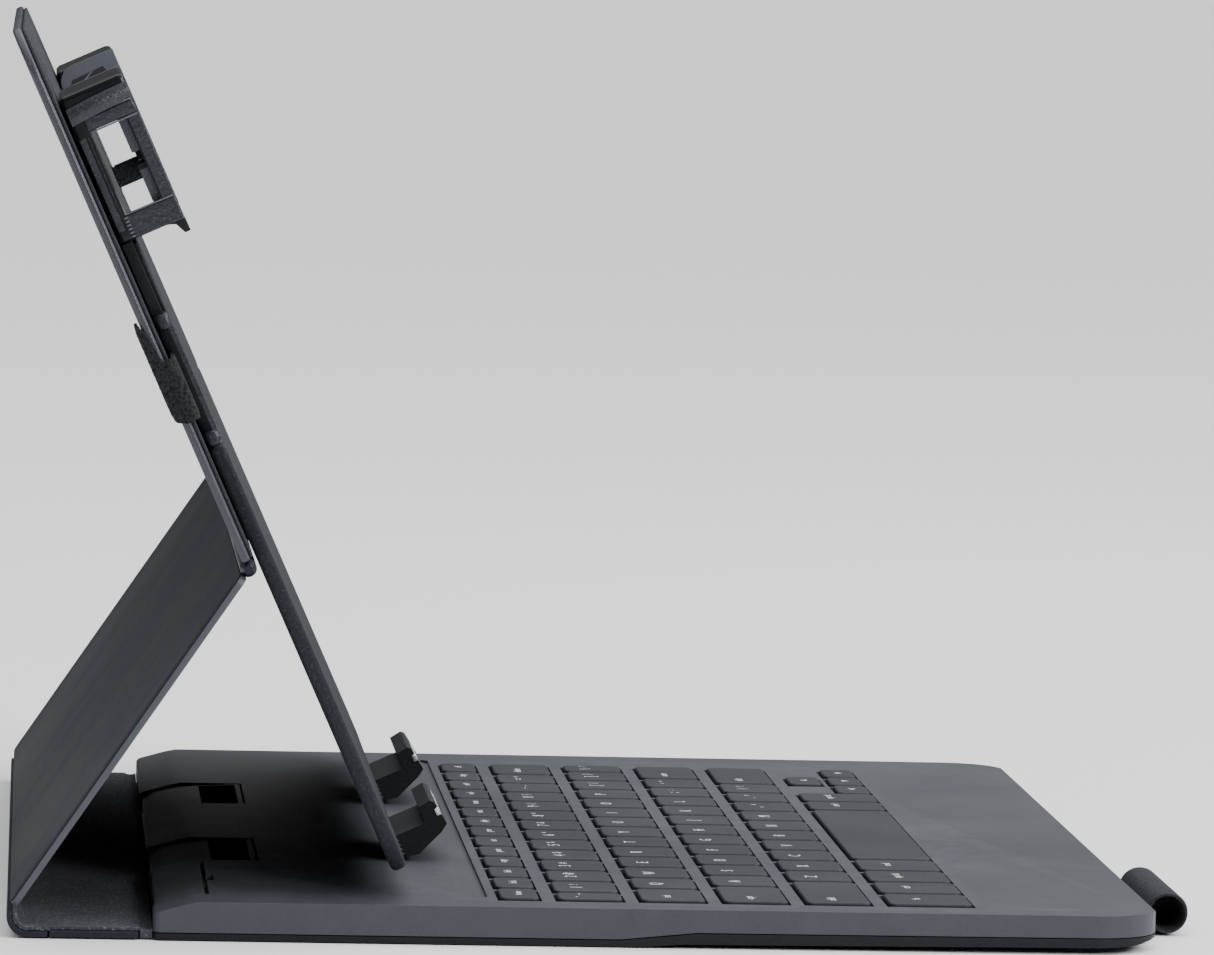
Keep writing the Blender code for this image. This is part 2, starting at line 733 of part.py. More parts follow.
STRAP_LOW_S = 14.5
STRAP_HIGH_S = 34.0
LUG_LOW_S = 10.4
LUG_HIGH_S = 37.6
BAR_D = (2.5, 3.4)
TRAY_NECK = CLIP_INNER_X - GAP
tray_outline = rounded(-TRAY_HALF, TRAY_HALF, TRAY_LOW_S, CLIP_SEAT_S, (9.0, 9.0, 0, 0), 4)
tray_outline[-1:-1] = [
    (TRAY_NECK, CLIP_SEAT_S),
    (TRAY_NECK, TRAY_TOP_S),
    (-TRAY_NECK, TRAY_TOP_S),
    (-TRAY_NECK, CLIP_SEAT_S),
]
tray_board = plate("tray_board", tray_outline, TRAY_BACK_D, TRAY_FRONT_D, "felt")
hang_on_tray(tray_board)
for side in (-1, 1):
    tag = "left" if side < 0 else "right"
    # a side notch that leaves a thin bar for the elastic strap
    inner = side * 112.0
    outer = side * 123.0
    low_x, high_x = min(inner, outer), max(inner, outer)
    strap_notch = box(
        "strap_notch_" + tag,
        (low_x, LUG_LOW_S + 3.0, -1.0),
        (high_x, LUG_HIGH_S - 3.0, BAR_D[0]),
    )
    hang_on_tray(strap_notch)
    combine(tray_board, strap_notch, "DIFFERENCE")
    bar_window_x = (side * 112.0, side * 118.6)
    bar_window = box(
        "bar_window_" + tag,
        (min(bar_window_x), LUG_LOW_S + 3.0, -1.0),
        (max(bar_window_x), LUG_HIGH_S - 3.0, 5.0),
    )
    hang_on_tray(bar_window)
    combine(tray_board, bar_window, "DIFFERENCE")
    # blade slot for the sprung clip
    slot_x = (side * 88.0, side * 108.0)
    blade_slot = box(
        "blade_slot_" + tag,
        (min(slot_x), 16.0, 1.0),
        (max(slot_x), 55.0, 2.65),
    )
    hang_on_tray(blade_slot)
    combine(tray_board, blade_slot, "DIFFERENCE")

    elastic = box(
        "clip_elastic_" + tag,
        (side * 98.0 - 4.0, 16.3, 1.4),
        (side * 98.0 + 4.0, 23.7, 2.2),
        "rubber",
    )
    hang_on_tray(elastic)

    # top clip: bent top, front lip, windowed outer side and a flat back with a blade
    clip_x = (side * CLIP_INNER_X, side * CLIP_OUTER_X)
    clip = box(
        "top_clip_" + tag,
        (min(clip_x), CLIP_LOW_S, TRAY_BACK_D),
        (max(clip_x), CLIP_TOP_S, CLIP_FRONT_D),
        "gloss_black",
    )
    hang_on_tray(clip)
    ease(clip, 1.2, 2)
    bay_x = (side * (CLIP_INNER_X - 2), side * (CLIP_OUTER_X - CLIP_WALL))
    bay = box(
        "clip_bay_" + tag,
        (min(bay_x), CLIP_LOW_S - 4.0, CLIP_BAY_D[0]),
        (max(bay_x), 80.0, CLIP_BAY_D[1]),
    )
    hang_on_tray(bay)
    combine(clip, bay, "DIFFERENCE")
    window_x = (side * 120.0, side * 126.0)
    window = box(
        "clip_window_" + tag,
        (min(window_x), WINDOW_S[0], CLIP_BAY_D[0]),
        (max(window_x), WINDOW_S[1], CLIP_BAY_D[1]),
    )
    hang_on_tray(window)
    combine(clip, window, "DIFFERENCE")
    tip = profile(
        "clip_tip_" + tag,
        [(54.2, 10.2), (54.2, 13.9), (51.0, 14.1), (51.0, 12.9), (53.2, 11.9), (53.8, 10.2)],
        min(side * CLIP_INNER_X, side * (CLIP_OUTER_X - 0.2)),
        max(side * CLIP_INNER_X, side * (CLIP_OUTER_X - 0.2)),
    )
    hang_on_tray(tip)
    combine(clip, tip, "UNION")
    blade_x = (side * 88.3, side * 107.7)
    blade = box("clip_blade_" + tag, (min(blade_x), 24.0, 1.3), (max(blade_x), CLIP_LOW_S + 2.0, 2.35))
    hang_on_tray(blade)
    combine(clip, blade, "UNION")

    # hook at the tray's lower edge
    middle = side * HOOK_X
    hook_side = [
        (-82.9, 3.65),
        (-82.9, 9.8),
        (-79.4, 9.9),
        (-79.0, 12.6),
        (-79.6, 13.3),
        (-84.8, 14.0),
        (-85.9, 12.4),
        (-87.3, 8.9),
        (-88.3, 6.3),
        (-88.0, 4.6),
        (-86.2, 2.3),
        (-83.2, 0.4),
        (-82.9, 0.4),
    ]
    hook = profile(
        "lower_hook_" + tag,
        hook_side,
        middle - HOOK_WIDTH / 2,
        middle + HOOK_WIDTH / 2,
        "gloss_black",
    )
    hang_on_tray(hook)
    pin_bore = cylinder(
        "keeper_bore_" + tag, (middle, KEEPER_S, KEEPER_D), KEEPER_R + PIN_BORE_PLAY, HOOK_WIDTH - 3.0, "X", None, 20
    )
    pin_slot = box(
        "keeper_mouth_" + tag,
        (middle - (HOOK_WIDTH - 3.0) / 2, KEEPER_S - 4.0, KEEPER_D - 0.35),
        (middle + (HOOK_WIDTH - 3.0) / 2, KEEPER_S, KEEPER_D + 0.35),
    )
    hang_on_tray(pin_bore)
    hang_on_tray(pin_slot)
    combine(hook, pin_bore, "DIFFERENCE")
    combine(hook, pin_slot, "DIFFERENCE")
    keeper_pin = cylinder("keeper_pin_" + tag, (0.0, 0.0, 0.0), KEEPER_R, HOOK_WIDTH - 3.6, "X", "steel", 20)
    hang(keeper_pin, tray_axis, (middle, 0.0, 0.0))

    # elastic strap sewn to the cover's edge and looped round the tray's bar
    strap_outline = [
        (side * 112.6, 0.35),
        (side * 130.9, 0.35),
        (side * 130.9, -3.2),
        (side * 114.0, -3.2),
        (side * 114.0, -3.9),
        (side * 131.2, -3.9),
        (side * 131.9, -3.2),
        (side * 131.9, 1.0),
        (side * 131.2, 1.7),
        (side * 112.6, 1.7),
    ]
    strap = strip("elastic_strap_" + tag, strap_outline, STRAP_LOW_S, STRAP_HIGH_S, "webbing")
    hang_on_tray(strap)

bpy.context.view_layer.update()
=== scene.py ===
# Looks for the tablet keyboard case: finer meshes, materials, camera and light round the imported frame
import json
import math

import bmesh
import bpy
from mathutils import Matrix, Vector


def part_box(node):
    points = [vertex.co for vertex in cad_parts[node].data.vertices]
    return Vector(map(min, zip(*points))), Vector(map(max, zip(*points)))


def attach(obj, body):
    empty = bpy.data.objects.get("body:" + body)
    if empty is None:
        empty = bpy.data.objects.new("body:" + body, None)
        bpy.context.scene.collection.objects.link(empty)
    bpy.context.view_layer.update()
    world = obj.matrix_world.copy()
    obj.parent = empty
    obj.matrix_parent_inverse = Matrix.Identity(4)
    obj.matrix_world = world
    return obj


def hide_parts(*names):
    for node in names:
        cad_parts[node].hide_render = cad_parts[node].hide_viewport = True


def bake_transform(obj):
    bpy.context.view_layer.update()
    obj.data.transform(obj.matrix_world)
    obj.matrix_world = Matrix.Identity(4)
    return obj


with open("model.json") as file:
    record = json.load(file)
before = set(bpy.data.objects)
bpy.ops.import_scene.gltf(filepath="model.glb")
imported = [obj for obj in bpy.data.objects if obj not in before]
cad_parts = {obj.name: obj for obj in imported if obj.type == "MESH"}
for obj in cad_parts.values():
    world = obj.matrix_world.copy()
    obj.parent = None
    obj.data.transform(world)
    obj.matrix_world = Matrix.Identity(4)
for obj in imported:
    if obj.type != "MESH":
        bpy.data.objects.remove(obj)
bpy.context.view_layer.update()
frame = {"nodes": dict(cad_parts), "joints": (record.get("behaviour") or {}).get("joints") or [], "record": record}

mm = 0.001
across = Vector((1.0, 0.0, 0.0))

# where things are, read from the frame
joints = {j["name"]: j for j in frame["joints"]}
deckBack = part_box("deck_top_case")[1][1]  # rear edge of the deck, on the row's Y
tabletFace = next(m for m in frame["record"]["mounts"] if m["name"] == "tablet_back")
trayOut = Vector(tabletFace["axis"]).normalized()  # out of the tray, towards the tablet
trayUp = trayOut.cross(across)
pinAt = {"s": -84.0, "d": 12.5}  # the keeper pins' place on the tray
footAt = {"back": 0.0274, "up": 0.0064}  # the kick panel's foot on the rear fold, from the deck's rear edge
trayZero = Vector(joints["tray_fold"]["pos_m"]) - trayUp * pinAt["s"] * mm - trayOut * pinAt["d"] * mm
kickTop = Vector(joints["kick_fold"]["pos_m"])
kickFoot = Vector((0.0, deckBack + footAt["back"], footAt["up"]))
kickDown = (kickFoot - kickTop).normalized()
kickOut = across.cross(kickDown)
spineLine = Vector(joints["spine_fold"]["pos_m"])


def deckPoint(x, y, z):  # millimetres, y from the deck's rear edge
    return Vector((x * mm, deckBack + y * mm, z * mm))


def trayPoint(x, s, d):  # s up the tray, d out towards the tablet
    return trayZero + across * x * mm + trayUp * s * mm + trayOut * d * mm


def kickPoint(x, t, h):  # t down the kick panel from its fold, h out of its back
    return kickTop + across * x * mm + kickDown * t * mm + kickOut * h * mm


# shader groups, each built once
def newGroup(name, inputs, outputs):
    group = bpy.data.node_groups.new(name, "ShaderNodeTree")
    for label, value in inputs:
        socket = group.interface.new_socket(name=label, in_out="INPUT", socket_type="NodeSocketFloat")
        socket.default_value = value
    for label in outputs:
        group.interface.new_socket(name=label, in_out="OUTPUT", socket_type="NodeSocketFloat")
    start = group.nodes.new("NodeGroupInput")
    end = group.nodes.new("NodeGroupOutput")
    return group, start, end


def mathNode(tree, operation, first, second=None, third=None):
    node = tree.nodes.new("ShaderNodeMath")
    node.operation = operation
    for slot, value in enumerate((first, second, third)):
        if value is None:
            continue
        if isinstance(value, (int, float)):
            node.inputs[slot].default_value = value
        else:
            tree.links.new(value, node.inputs[slot])
    return node.outputs[0]


def rangeNode(tree, value, low, high, outLow=0.0, outHigh=1.0):
    node = tree.nodes.new("ShaderNodeMapRange")
    tree.links.new(value, node.inputs["Value"])
    node.inputs["From Min"].default_value = low
    node.inputs["From Max"].default_value = high
    node.inputs["To Min"].default_value = outLow
    node.inputs["To Max"].default_value = outHigh
    return node.outputs["Result"]


def noiseNode(tree, vector, scale, detail=2.0, roughness=0.5):
    node = tree.nodes.new("ShaderNodeTexNoise")
    tree.links.new(vector, node.inputs["Vector"])
    if isinstance(scale, (int, float)):
        node.inputs["Scale"].default_value = scale
    else:
        tree.links.new(scale, node.inputs["Scale"])
    node.inputs["Detail"].default_value = detail
    node.inputs["Roughness"].default_value = roughness
    return node.outputs["Fac"]


def objectPlace(group):
    return group.nodes.new("ShaderNodeTexCoord").outputs["Object"]


def makeGrain():
    # moulded texture: fine pits with a slow change of tone, and fine specks that the plastics paint in as bright
    # glints
    look = {"cellShare": 0.55, "pitDepth": 0.6, "toneSize": 14.0, "paintedGlintFrom": 0.56, "paintedGlintTo": 0.72}
    group, start, end = newGroup("mouldGrain", [("Size", 2600.0)], ["Height", "Tone", "PaintedGlint"])
    place = objectPlace(group)
    fine = noiseNode(group, place, start.outputs["Size"], 3.0, 0.6)
    cells = group.nodes.new("ShaderNodeTexVoronoi")
    group.links.new(place, cells.inputs["Vector"])
    cellSize = mathNode(group, "MULTIPLY", start.outputs["Size"], look["cellShare"])
    group.links.new(cellSize, cells.inputs["Scale"])
    pits = mathNode(group, "MULTIPLY", cells.outputs["Distance"], look["pitDepth"])
    group.links.new(mathNode(group, "ADD", fine, pits), end.inputs["Height"])
    group.links.new(noiseNode(group, place, look["toneSize"], 4.0, 0.55), end.inputs["Tone"])
    group.links.new(rangeNode(group, fine, look["paintedGlintFrom"], look["paintedGlintTo"]), end.inputs["PaintedGlint"])
    return group


def makeWear():
    # rubbed edges, broken up so that they never run on as a line
    look = {"edgeFrom": 0.52, "edgeTo": 0.60, "patchSize": 160.0, "patchFrom": 0.35, "patchTo": 0.75}
    group, start, end = newGroup("edgeWear", [("Amount", 0.5)], ["Mask"])
    place = objectPlace(group)
    bend = group.nodes.new("ShaderNodeNewGeometry").outputs["Pointiness"]
    edge = rangeNode(group, bend, look["edgeFrom"], look["edgeTo"])
    patchNoise = noiseNode(group, place, look["patchSize"], 5.0, 0.65)
    patch = rangeNode(group, patchNoise, look["patchFrom"], look["patchTo"])
    mask = mathNode(group, "MULTIPLY", edge, patch)
    group.links.new(mathNode(group, "MULTIPLY", mask, start.outputs["Amount"]), end.inputs["Mask"])
    return group


def makeDust():
    # a little dust and handling marks on faces that look up
    look = {"speckSize": 900.0, "specks": (0.60, 0.74), "cloudSize": 22.0, "clouds": (0.42, 0.72),
            "speckShare": 0.5, "upFrom": 0.2}
    group, start, end = newGroup("restingDust", [("Amount", 0.3)], ["Mask"])
    place = objectPlace(group)
    facing = group.nodes.new("ShaderNodeSeparateXYZ")
    group.links.new(group.nodes.new("ShaderNodeNewGeometry").outputs["Normal"], facing.inputs[0])
    upward = rangeNode(group, facing.outputs["Z"], look["upFrom"], 1.0)
    specks = rangeNode(group, noiseNode(group, place, look["speckSize"], 2.0, 0.5), *look["specks"])
    cloud = rangeNode(group, noiseNode(group, place, look["cloudSize"], 4.0, 0.6), *look["clouds"])
    both = mathNode(group, "MULTIPLY_ADD", specks, look["speckShare"], cloud)
    mask = mathNode(group, "MULTIPLY", both, upward)
    group.links.new(mathNode(group, "MULTIPLY", mask, start.outputs["Amount"]), end.inputs["Mask"])
    return group


def makeFelt():
    # pressed fibres with pale flecks
    look = {"stretch": (1.0, 0.45, 0.7), "turn": (0.3, 0.5, 0.8), "fleckShare": 1.3,
            "flecks": (0.57, 0.70), "toneSize": 60.0}
    group, start, end = newGroup("feltNap", [("Size", 1500.0)], ["Height", "Fleck", "Tone"])
    place = objectPlace(group)
    stretch = group.nodes.new("ShaderNodeMapping")
    group.links.new(place, stretch.inputs["Vector"])
    stretch.inputs["Scale"].default_value = look["stretch"]
    stretch.inputs["Rotation"].default_value = look["turn"]
    fibre = noiseNode(group, stretch.outputs["Vector"], start.outputs["Size"], 4.0, 0.7)
    fleckSize = mathNode(group, "MULTIPLY", start.outputs["Size"], look["fleckShare"])
    fleck = noiseNode(group, place, fleckSize, 1.0, 0.5)
    group.links.new(fibre, end.inputs["Height"])
    group.links.new(rangeNode(group, fleck, *look["flecks"]), end.inputs["Fleck"])
    group.links.new(noiseNode(group, place, look["toneSize"], 3.0, 0.6), end.inputs["Tone"])
    return group


def makeKnit():
    # pebbled knit of the elastic, or a finer cloth with a larger size
    look = {"pebble": (0.1, 0.75), "gap": (0.35, 0.7), "threadShare": 3.0, "threadDepth": 0.25}
    group, start, end = newGroup("knitPebble", [("Size", 1100.0)], ["Height", "Gap"])
    place = objectPlace(group)
    cells = group.nodes.new("ShaderNodeTexVoronoi")
    cells.feature = "SMOOTH_F1"
    group.links.new(place, cells.inputs["Vector"])
    group.links.new(start.outputs["Size"], cells.inputs["Scale"])
    pebble = rangeNode(group, cells.outputs["Distance"], *look["pebble"], 1.0, 0.0)
    threadSize = mathNode(group, "MULTIPLY", start.outputs["Size"], look["threadShare"])
    thread = noiseNode(group, place, threadSize, 2.0, 0.5)
    height = mathNode(group, "MULTIPLY_ADD", thread, look["threadDepth"], pebble)
    group.links.new(height, end.inputs["Height"])
    group.links.new(rangeNode(group, cells.outputs["Distance"], *look["gap"]), end.inputs["Gap"])
    return group


groups = {
    "grain": makeGrain(),
    "wear": makeWear(),
    "dust": makeDust(),
    "felt": makeFelt(),
    "knit": makeKnit(),
}
print("shader groups built:", ", ".join(groups))


# materials
def addGroup(tree, key, **values):
    node = tree.nodes.new("ShaderNodeGroup")
    node.node_tree = groups[key]
    for label, value in values.items():
        node.inputs[label].default_value = value
    return node


def mixColour(tree, factor, first, second):
    node = tree.nodes.new("ShaderNodeMix")
    node.data_type = "RGBA"
    tree.links.new(factor, node.inputs["Factor"])
    for slot, value in ((6, first), (7, second)):
        if isinstance(value, tuple):
            node.inputs[slot].default_value = (*value, 1.0)
        else:
            tree.links.new(value, node.inputs[slot])
    return node.outputs[2]


def bumpInto(tree, shader, height, strength, distance):
    bump = tree.nodes.new("ShaderNodeBump")
    bump.inputs["Strength"].default_value = strength
    bump.inputs["Distance"].default_value = distance
    tree.links.new(height, bump.inputs["Height"])
    tree.links.new(bump.outputs["Normal"], shader.inputs["Normal"])


def shaded(colour, gain, lift=0.0):
    return tuple(min(1.0, c * gain + lift) for c in colour)


coolCast = (0.90, 0.94, 1.0, 1.0)  # the tint of light glancing off dark plastic
midTones = (0.3, 0.7)  # the part of a noise that a tone runs over


def startMaterial(name, colour, roughness, metallic=0.0, specular=0.5):
    mat = bpy.data.materials.new(name)
    mat.use_nodes = True
    mat.diffuse_color = (*colour, 1.0)
    shader = mat.node_tree.nodes["Principled BSDF"]
    shader.inputs["Base Color"].default_value = (*colour, 1.0)
    shader.inputs["Roughness"].default_value = roughness
    shader.inputs["Metallic"].default_value = metallic
    shader.inputs["Specular IOR Level"].default_value = specular
    if metallic == 0.0:
        shader.inputs["Specular Tint"].default_value = coolCast
    return mat, mat.node_tree, shader


plasticMix = {"paintedGlintGain": 3.2, "paintedGlintLift": 0.03, "rubGain": 1.9, "rubLift": 0.02, "smoother": 0.05,
              "rougher": 0.06, "rubbedShine": -0.12, "dustColour": (0.42, 0.42, 0.42),
              "plainSpecular": 0.5}


def mouldedPlastic(name, look):
    # grained or smooth plastic with tone, painted glints on its grain, rubbed edges and dust
    specular = look.get("specular", plasticMix["plainSpecular"])
    mat, tree, shader = startMaterial(name, look["colour"], look["roughness"], 0.0, specular)
    grain = addGroup(tree, "grain", Size=look["grainSize"])
    wear = addGroup(tree, "wear", Amount=look["wear"])
    dust = addGroup(tree, "dust", Amount=look["dust"])
    colour = look["colour"]
    darker = shaded(colour, 1.0 - look["toneDepth"])
    lighter = shaded(colour, 1.0 + look["toneDepth"])
    toned = mixColour(tree, rangeNode(tree, grain.outputs["Tone"], *midTones), darker, lighter)
    # painted highlight: bright specks mixed into the colour as glints off the grain
    paintedGlints = mathNode(tree, "MULTIPLY", grain.outputs["PaintedGlint"], look["paintedGlint"])
    glint = shaded(colour, plasticMix["paintedGlintGain"], plasticMix["paintedGlintLift"])
    paintedGlinted = mixColour(tree, paintedGlints, toned, glint)
    bare = shaded(colour, plasticMix["rubGain"], plasticMix["rubLift"])
    rubbed = mixColour(tree, wear.outputs["Mask"], paintedGlinted, bare)
    dusty = mixColour(tree, dust.outputs["Mask"], rubbed, plasticMix["dustColour"])
    tree.links.new(dusty, shader.inputs["Base Color"])
    smooth = look["roughness"] - plasticMix["smoother"]
    coarse = look["roughness"] + plasticMix["rougher"]
    rough = rangeNode(tree, grain.outputs["Tone"], *midTones, smooth, coarse)
    rough = mathNode(tree, "MULTIPLY_ADD", wear.outputs["Mask"], plasticMix["rubbedShine"], rough)
    tree.links.new(rough, shader.inputs["Roughness"])
    bumpInto(tree, shader, grain.outputs["Height"], look["bump"], look["bumpDepth"])
    return mat


feltMix = {"roughness": 0.95, "specular": 0.25, "sheenRoughness": 0.5, "dark": 0.8, "light": 1.25,
           "paintedShadeTone": 0.3, "hollows": (0.25, 0.5, 0.55, 0.0), "rough": (0.88, 0.99),
           "depth": 0.00025}


def feltMaterial(name, look):
    colour = look["colour"]
    mat, tree, shader = startMaterial(name, colour, feltMix["roughness"], 0.0, feltMix["specular"])
    shader.inputs["Sheen Weight"].default_value = look["sheen"]
    shader.inputs["Sheen Roughness"].default_value = feltMix["sheenRoughness"]
    felt = addGroup(tree, "felt", Size=look["size"])
    tone = rangeNode(tree, felt.outputs["Tone"], *midTones)
    toned = mixColour(tree, tone, shaded(colour, feltMix["dark"]), shaded(colour, feltMix["light"]))
    flecks = mathNode(tree, "MULTIPLY", felt.outputs["Fleck"], look["fleck"])
    flecked = mixColour(tree, flecks, toned, look["fleckColour"])
    # painted shade: the low places of the fibres are darkened as if shaded
    hollow = rangeNode(tree, felt.outputs["Height"], *feltMix["hollows"])
    paintedShadeTone = mixColour(tree, hollow, flecked, shaded(colour, feltMix["paintedShadeTone"]))
    tree.links.new(paintedShadeTone, shader.inputs["Base Color"])
    rough = rangeNode(tree, felt.outputs["Tone"], *midTones, *feltMix["rough"])
    tree.links.new(rough, shader.inputs["Roughness"])
    bumpInto(tree, shader, felt.outputs["Height"], look["bump"], feltMix["depth"])
    return mat


# light and dark are painted light on the pebble tops and painted shade in the gaps between them
knitMix = {"roughness": 0.85, "specular": 0.3, "light": 1.7, "dark": 0.25, "rough": (0.72, 0.95)}


def knitMaterial(name, look):
    colour = look["colour"]
    mat, tree, shader = startMaterial(name, colour, knitMix["roughness"], 0.0, knitMix["specular"])
    shader.inputs["Sheen Weight"].default_value = look["sheen"]
    knit = addGroup(tree, "knit", Size=look["size"])
    gap = knit.outputs["Gap"]
    # painted light and shade: the pebble tops are lightened and the gaps between them darkened
    tone = mixColour(tree, gap, shaded(colour, knitMix["light"]), shaded(colour, knitMix["dark"]))
    tree.links.new(tone, shader.inputs["Base Color"])
    tree.links.new(rangeNode(tree, gap, 0.0, 1.0, *knitMix["rough"]), shader.inputs["Roughness"])
    bumpInto(tree, shader, knit.outputs["Height"], look["bump"], look["depth"])
    return mat


metalMix = {"lineSize": 1800.0, "stainSize": 70.0, "stains": (0.35, 0.7), "stained": 0.8,
            "lines": (0.2, 0.8), "smoother": 0.08, "rougher": 0.12, "bump": 0.25, "depth": 0.00002}


def metalMaterial(name, look):
    colour = look["colour"]
    mat, tree, shader = startMaterial(name, colour, look["roughness"], 1.0)
    place = objectPlace(tree)
    stretch = tree.nodes.new("ShaderNodeMapping")
    tree.links.new(place, stretch.inputs["Vector"])
    stretch.inputs["Scale"].default_value = look["lay"]  # the brushing runs along the short scale
    lines = noiseNode(tree, stretch.outputs["Vector"], metalMix["lineSize"], 3.0, 0.6)
    stains = rangeNode(tree, noiseNode(tree, place, metalMix["stainSize"], 4.0, 0.6), *metalMix["stains"])
    toned = mixColour(tree, stains, shaded(colour, metalMix["stained"]), colour)
    tree.links.new(toned, shader.inputs["Base Color"])
    smooth = look["roughness"] - metalMix["smoother"]
    coarse = look["roughness"] + metalMix["rougher"]
    rough = rangeNode(tree, lines, *metalMix["lines"], smooth, coarse)
    tree.links.new(rough, shader.inputs["Roughness"])
    bumpInto(tree, shader, lines, metalMix["bump"], metalMix["depth"])
    return mat


inkLook = {"colour": (0.72, 0.73, 0.75), "roughness": 0.6, "wornSize": 500.0, "worn": (0.6, 0.61, 0.64),
           "fresh": (0.8, 0.8, 0.82), "rough": (0.5, 0.7)}


def legendInk(name):
    mat, tree, shader = startMaterial(name, inkLook["colour"], inkLook["roughness"])
    worn = noiseNode(tree, objectPlace(tree), inkLook["wornSize"], 3.0, 0.6)
    toned = mixColour(tree, rangeNode(tree, worn, *midTones), inkLook["worn"], inkLook["fresh"])
    tree.links.new(toned, shader.inputs["Base Color"])
    tree.links.new(rangeNode(tree, worn, *midTones, *inkLook["rough"]), shader.inputs["Roughness"])
    return mat


plasticLooks = {
    "deckPlastic": dict(colour=(0.044, 0.047, 0.056), roughness=0.46, grainSize=2300.0, bump=0.6,
                        bumpDepth=0.00008, toneDepth=0.08, paintedGlint=0.08, wear=0.35, dust=0.05, specular=0.3),
    "keyPlastic": dict(colour=(0.018, 0.020, 0.024), roughness=0.5, grainSize=3000.0, bump=0.35,
                       bumpDepth=0.00005, toneDepth=0.08, paintedGlint=0.2, wear=0.3, dust=0.04, specular=0.28),
    "underPlastic": dict(colour=(0.0045, 0.005, 0.006), roughness=0.5, grainSize=2200.0, bump=0.5,
                         bumpDepth=0.00007, toneDepth=0.12, paintedGlint=0.2, wear=0.3, dust=0.03, specular=0.25),
    "panelSkin": dict(colour=(0.011, 0.0125, 0.0185), roughness=0.5, grainSize=4200.0, bump=0.25,
                      bumpDepth=0.00003, toneDepth=0.05, paintedGlint=0.1, wear=0.25, dust=0.015, specular=0.2),
    "panelEdge": dict(colour=(0.060, 0.064, 0.074), roughness=0.38, grainSize=3600.0, bump=0.2,
                      bumpDepth=0.00003, toneDepth=0.08, paintedGlint=0.1, wear=0.2, dust=0.02, specular=0.35),
    "clipGloss": dict(colour=(0.004, 0.004, 0.005), roughness=0.26, grainSize=1700.0, bump=0.16,
                      bumpDepth=0.00003, toneDepth=0.2, paintedGlint=0.1, wear=0.35, dust=0.05, specular=0.25),
    "clipTextured": dict(colour=(0.012, 0.013, 0.016), roughness=0.32, grainSize=1900.0, bump=0.7,
                         bumpDepth=0.00012, toneDepth=0.15, paintedGlint=0.6, wear=0.5, dust=0.04, specular=0.45),
    "clipBar": dict(colour=(0.085, 0.09, 0.108), roughness=0.4, grainSize=3000.0, bump=0.25,
                    bumpDepth=0.00004, toneDepth=0.1, paintedGlint=0.2, wear=0.3, dust=0.03, specular=0.3),
    "coverRim": dict(colour=(0.034, 0.036, 0.042), roughness=0.28, grainSize=3400.0, bump=0.3,
                     bumpDepth=0.00004, toneDepth=0.2, paintedGlint=0.5, wear=0.4, dust=0.02, specular=0.5),
    "softRubber": dict(colour=(0.012, 0.013, 0.015), roughness=0.78, grainSize=2600.0, bump=0.4,
                       bumpDepth=0.00006, toneDepth=0.15, paintedGlint=0.15, wear=0.2, dust=0.08),
    # painted shade: a near-black plastic laid where there is only shade, in the socket mouths and the clips' slots
    "paintedShadeBlack": dict(colour=(0.006, 0.006, 0.007), roughness=0.6, grainSize=2400.0, bump=0.3,
                       bumpDepth=0.00005, toneDepth=0.1, paintedGlint=0.05, wear=0.1, dust=0.03),
    "boardGreen": dict(colour=(0.012, 0.085, 0.04), roughness=0.3, grainSize=2400.0, bump=0.1,
                       bumpDepth=0.00003, toneDepth=0.15, paintedGlint=0.1, wear=0.1, dust=0.02),
}
mats = {name: mouldedPlastic(name, look) for name, look in plasticLooks.items()}
feltLooks = {
    "trayFelt": dict(colour=(0.016, 0.0175, 0.021), fleckColour=(0.06, 0.063, 0.072), size=1500.0,
                     fleck=0.35, bump=0.8, sheen=0.04),
    "coverFelt": dict(colour=(0.024, 0.025, 0.030), fleckColour=(0.05, 0.053, 0.06), size=1600.0,
                      fleck=0.9, bump=0.7, sheen=0.03),
    "spineFelt": dict(colour=(0.05, 0.052, 0.062), fleckColour=(0.16, 0.165, 0.18), size=1300.0,
                      fleck=1.0, bump=0.8, sheen=0.04),
}
mats.update({name: feltMaterial(name, look) for name, look in feltLooks.items()})
knitLooks = {
    "strapKnit": dict(colour=(0.0055, 0.006, 0.007), size=1900.0, bump=1.0, depth=0.00022, sheen=0.02),
    "loopKnit": dict(colour=(0.010, 0.011, 0.014), size=3200.0, bump=0.5, depth=0.0001, sheen=0.03),
}
mats.update({name: knitMaterial(name, look) for name, look in knitLooks.items()})
metalLooks = {
    "brightSteel": dict(colour=(0.55, 0.55, 0.57), roughness=0.3, lay=(0.08, 1.0, 1.0)),
    "magnetPlate": dict(colour=(0.42, 0.42, 0.44), roughness=0.25, lay=(1.0, 0.2, 1.0)),
    # a bright steel that stands in for the glint on the hooks' noses: painted highlight
    "glintSteel": dict(colour=(0.75, 0.75, 0.77), roughness=0.22, lay=(0.1, 1.0, 1.0)),
}
mats.update({name: metalMaterial(name, look) for name, look in metalLooks.items()})
mats["legendInk"] = legendInk("legendInk")
print("materials built:", len(mats))


# mesh helpers
def pushOutline(bm, outline, low, high, place):
    # a closed outline of (a, b) pushed along c from low to high
    lower = [bm.verts.new(place(a, b, low)) for a, b in outline]
    upper = [bm.verts.new(place(a, b, high)) for a, b in outline]
    faces = [bm.faces.new(lower), bm.faces.new(list(reversed(upper)))]
    count = len(outline)
    for i in range(count):
        j = (i + 1) % count
        faces.append(bm.faces.new((lower[i], upper[i], upper[j], lower[j])))
    return faces


def roundEdges(bm, width, segments=2, angle=30.0, only=None):
    bmesh.ops.recalc_face_normals(bm, faces=bm.faces)
    sharp = [
        e for e in bm.edges
        if e.is_manifold and e.calc_face_angle(0.0) > math.radians(angle) and (only is None or only(e))
    ]
    if sharp:
        bmesh.ops.bevel(bm, geom=sharp, offset=width * mm, segments=segments, affect="EDGES",
                        profile=0.5, clamp_overlap=True)


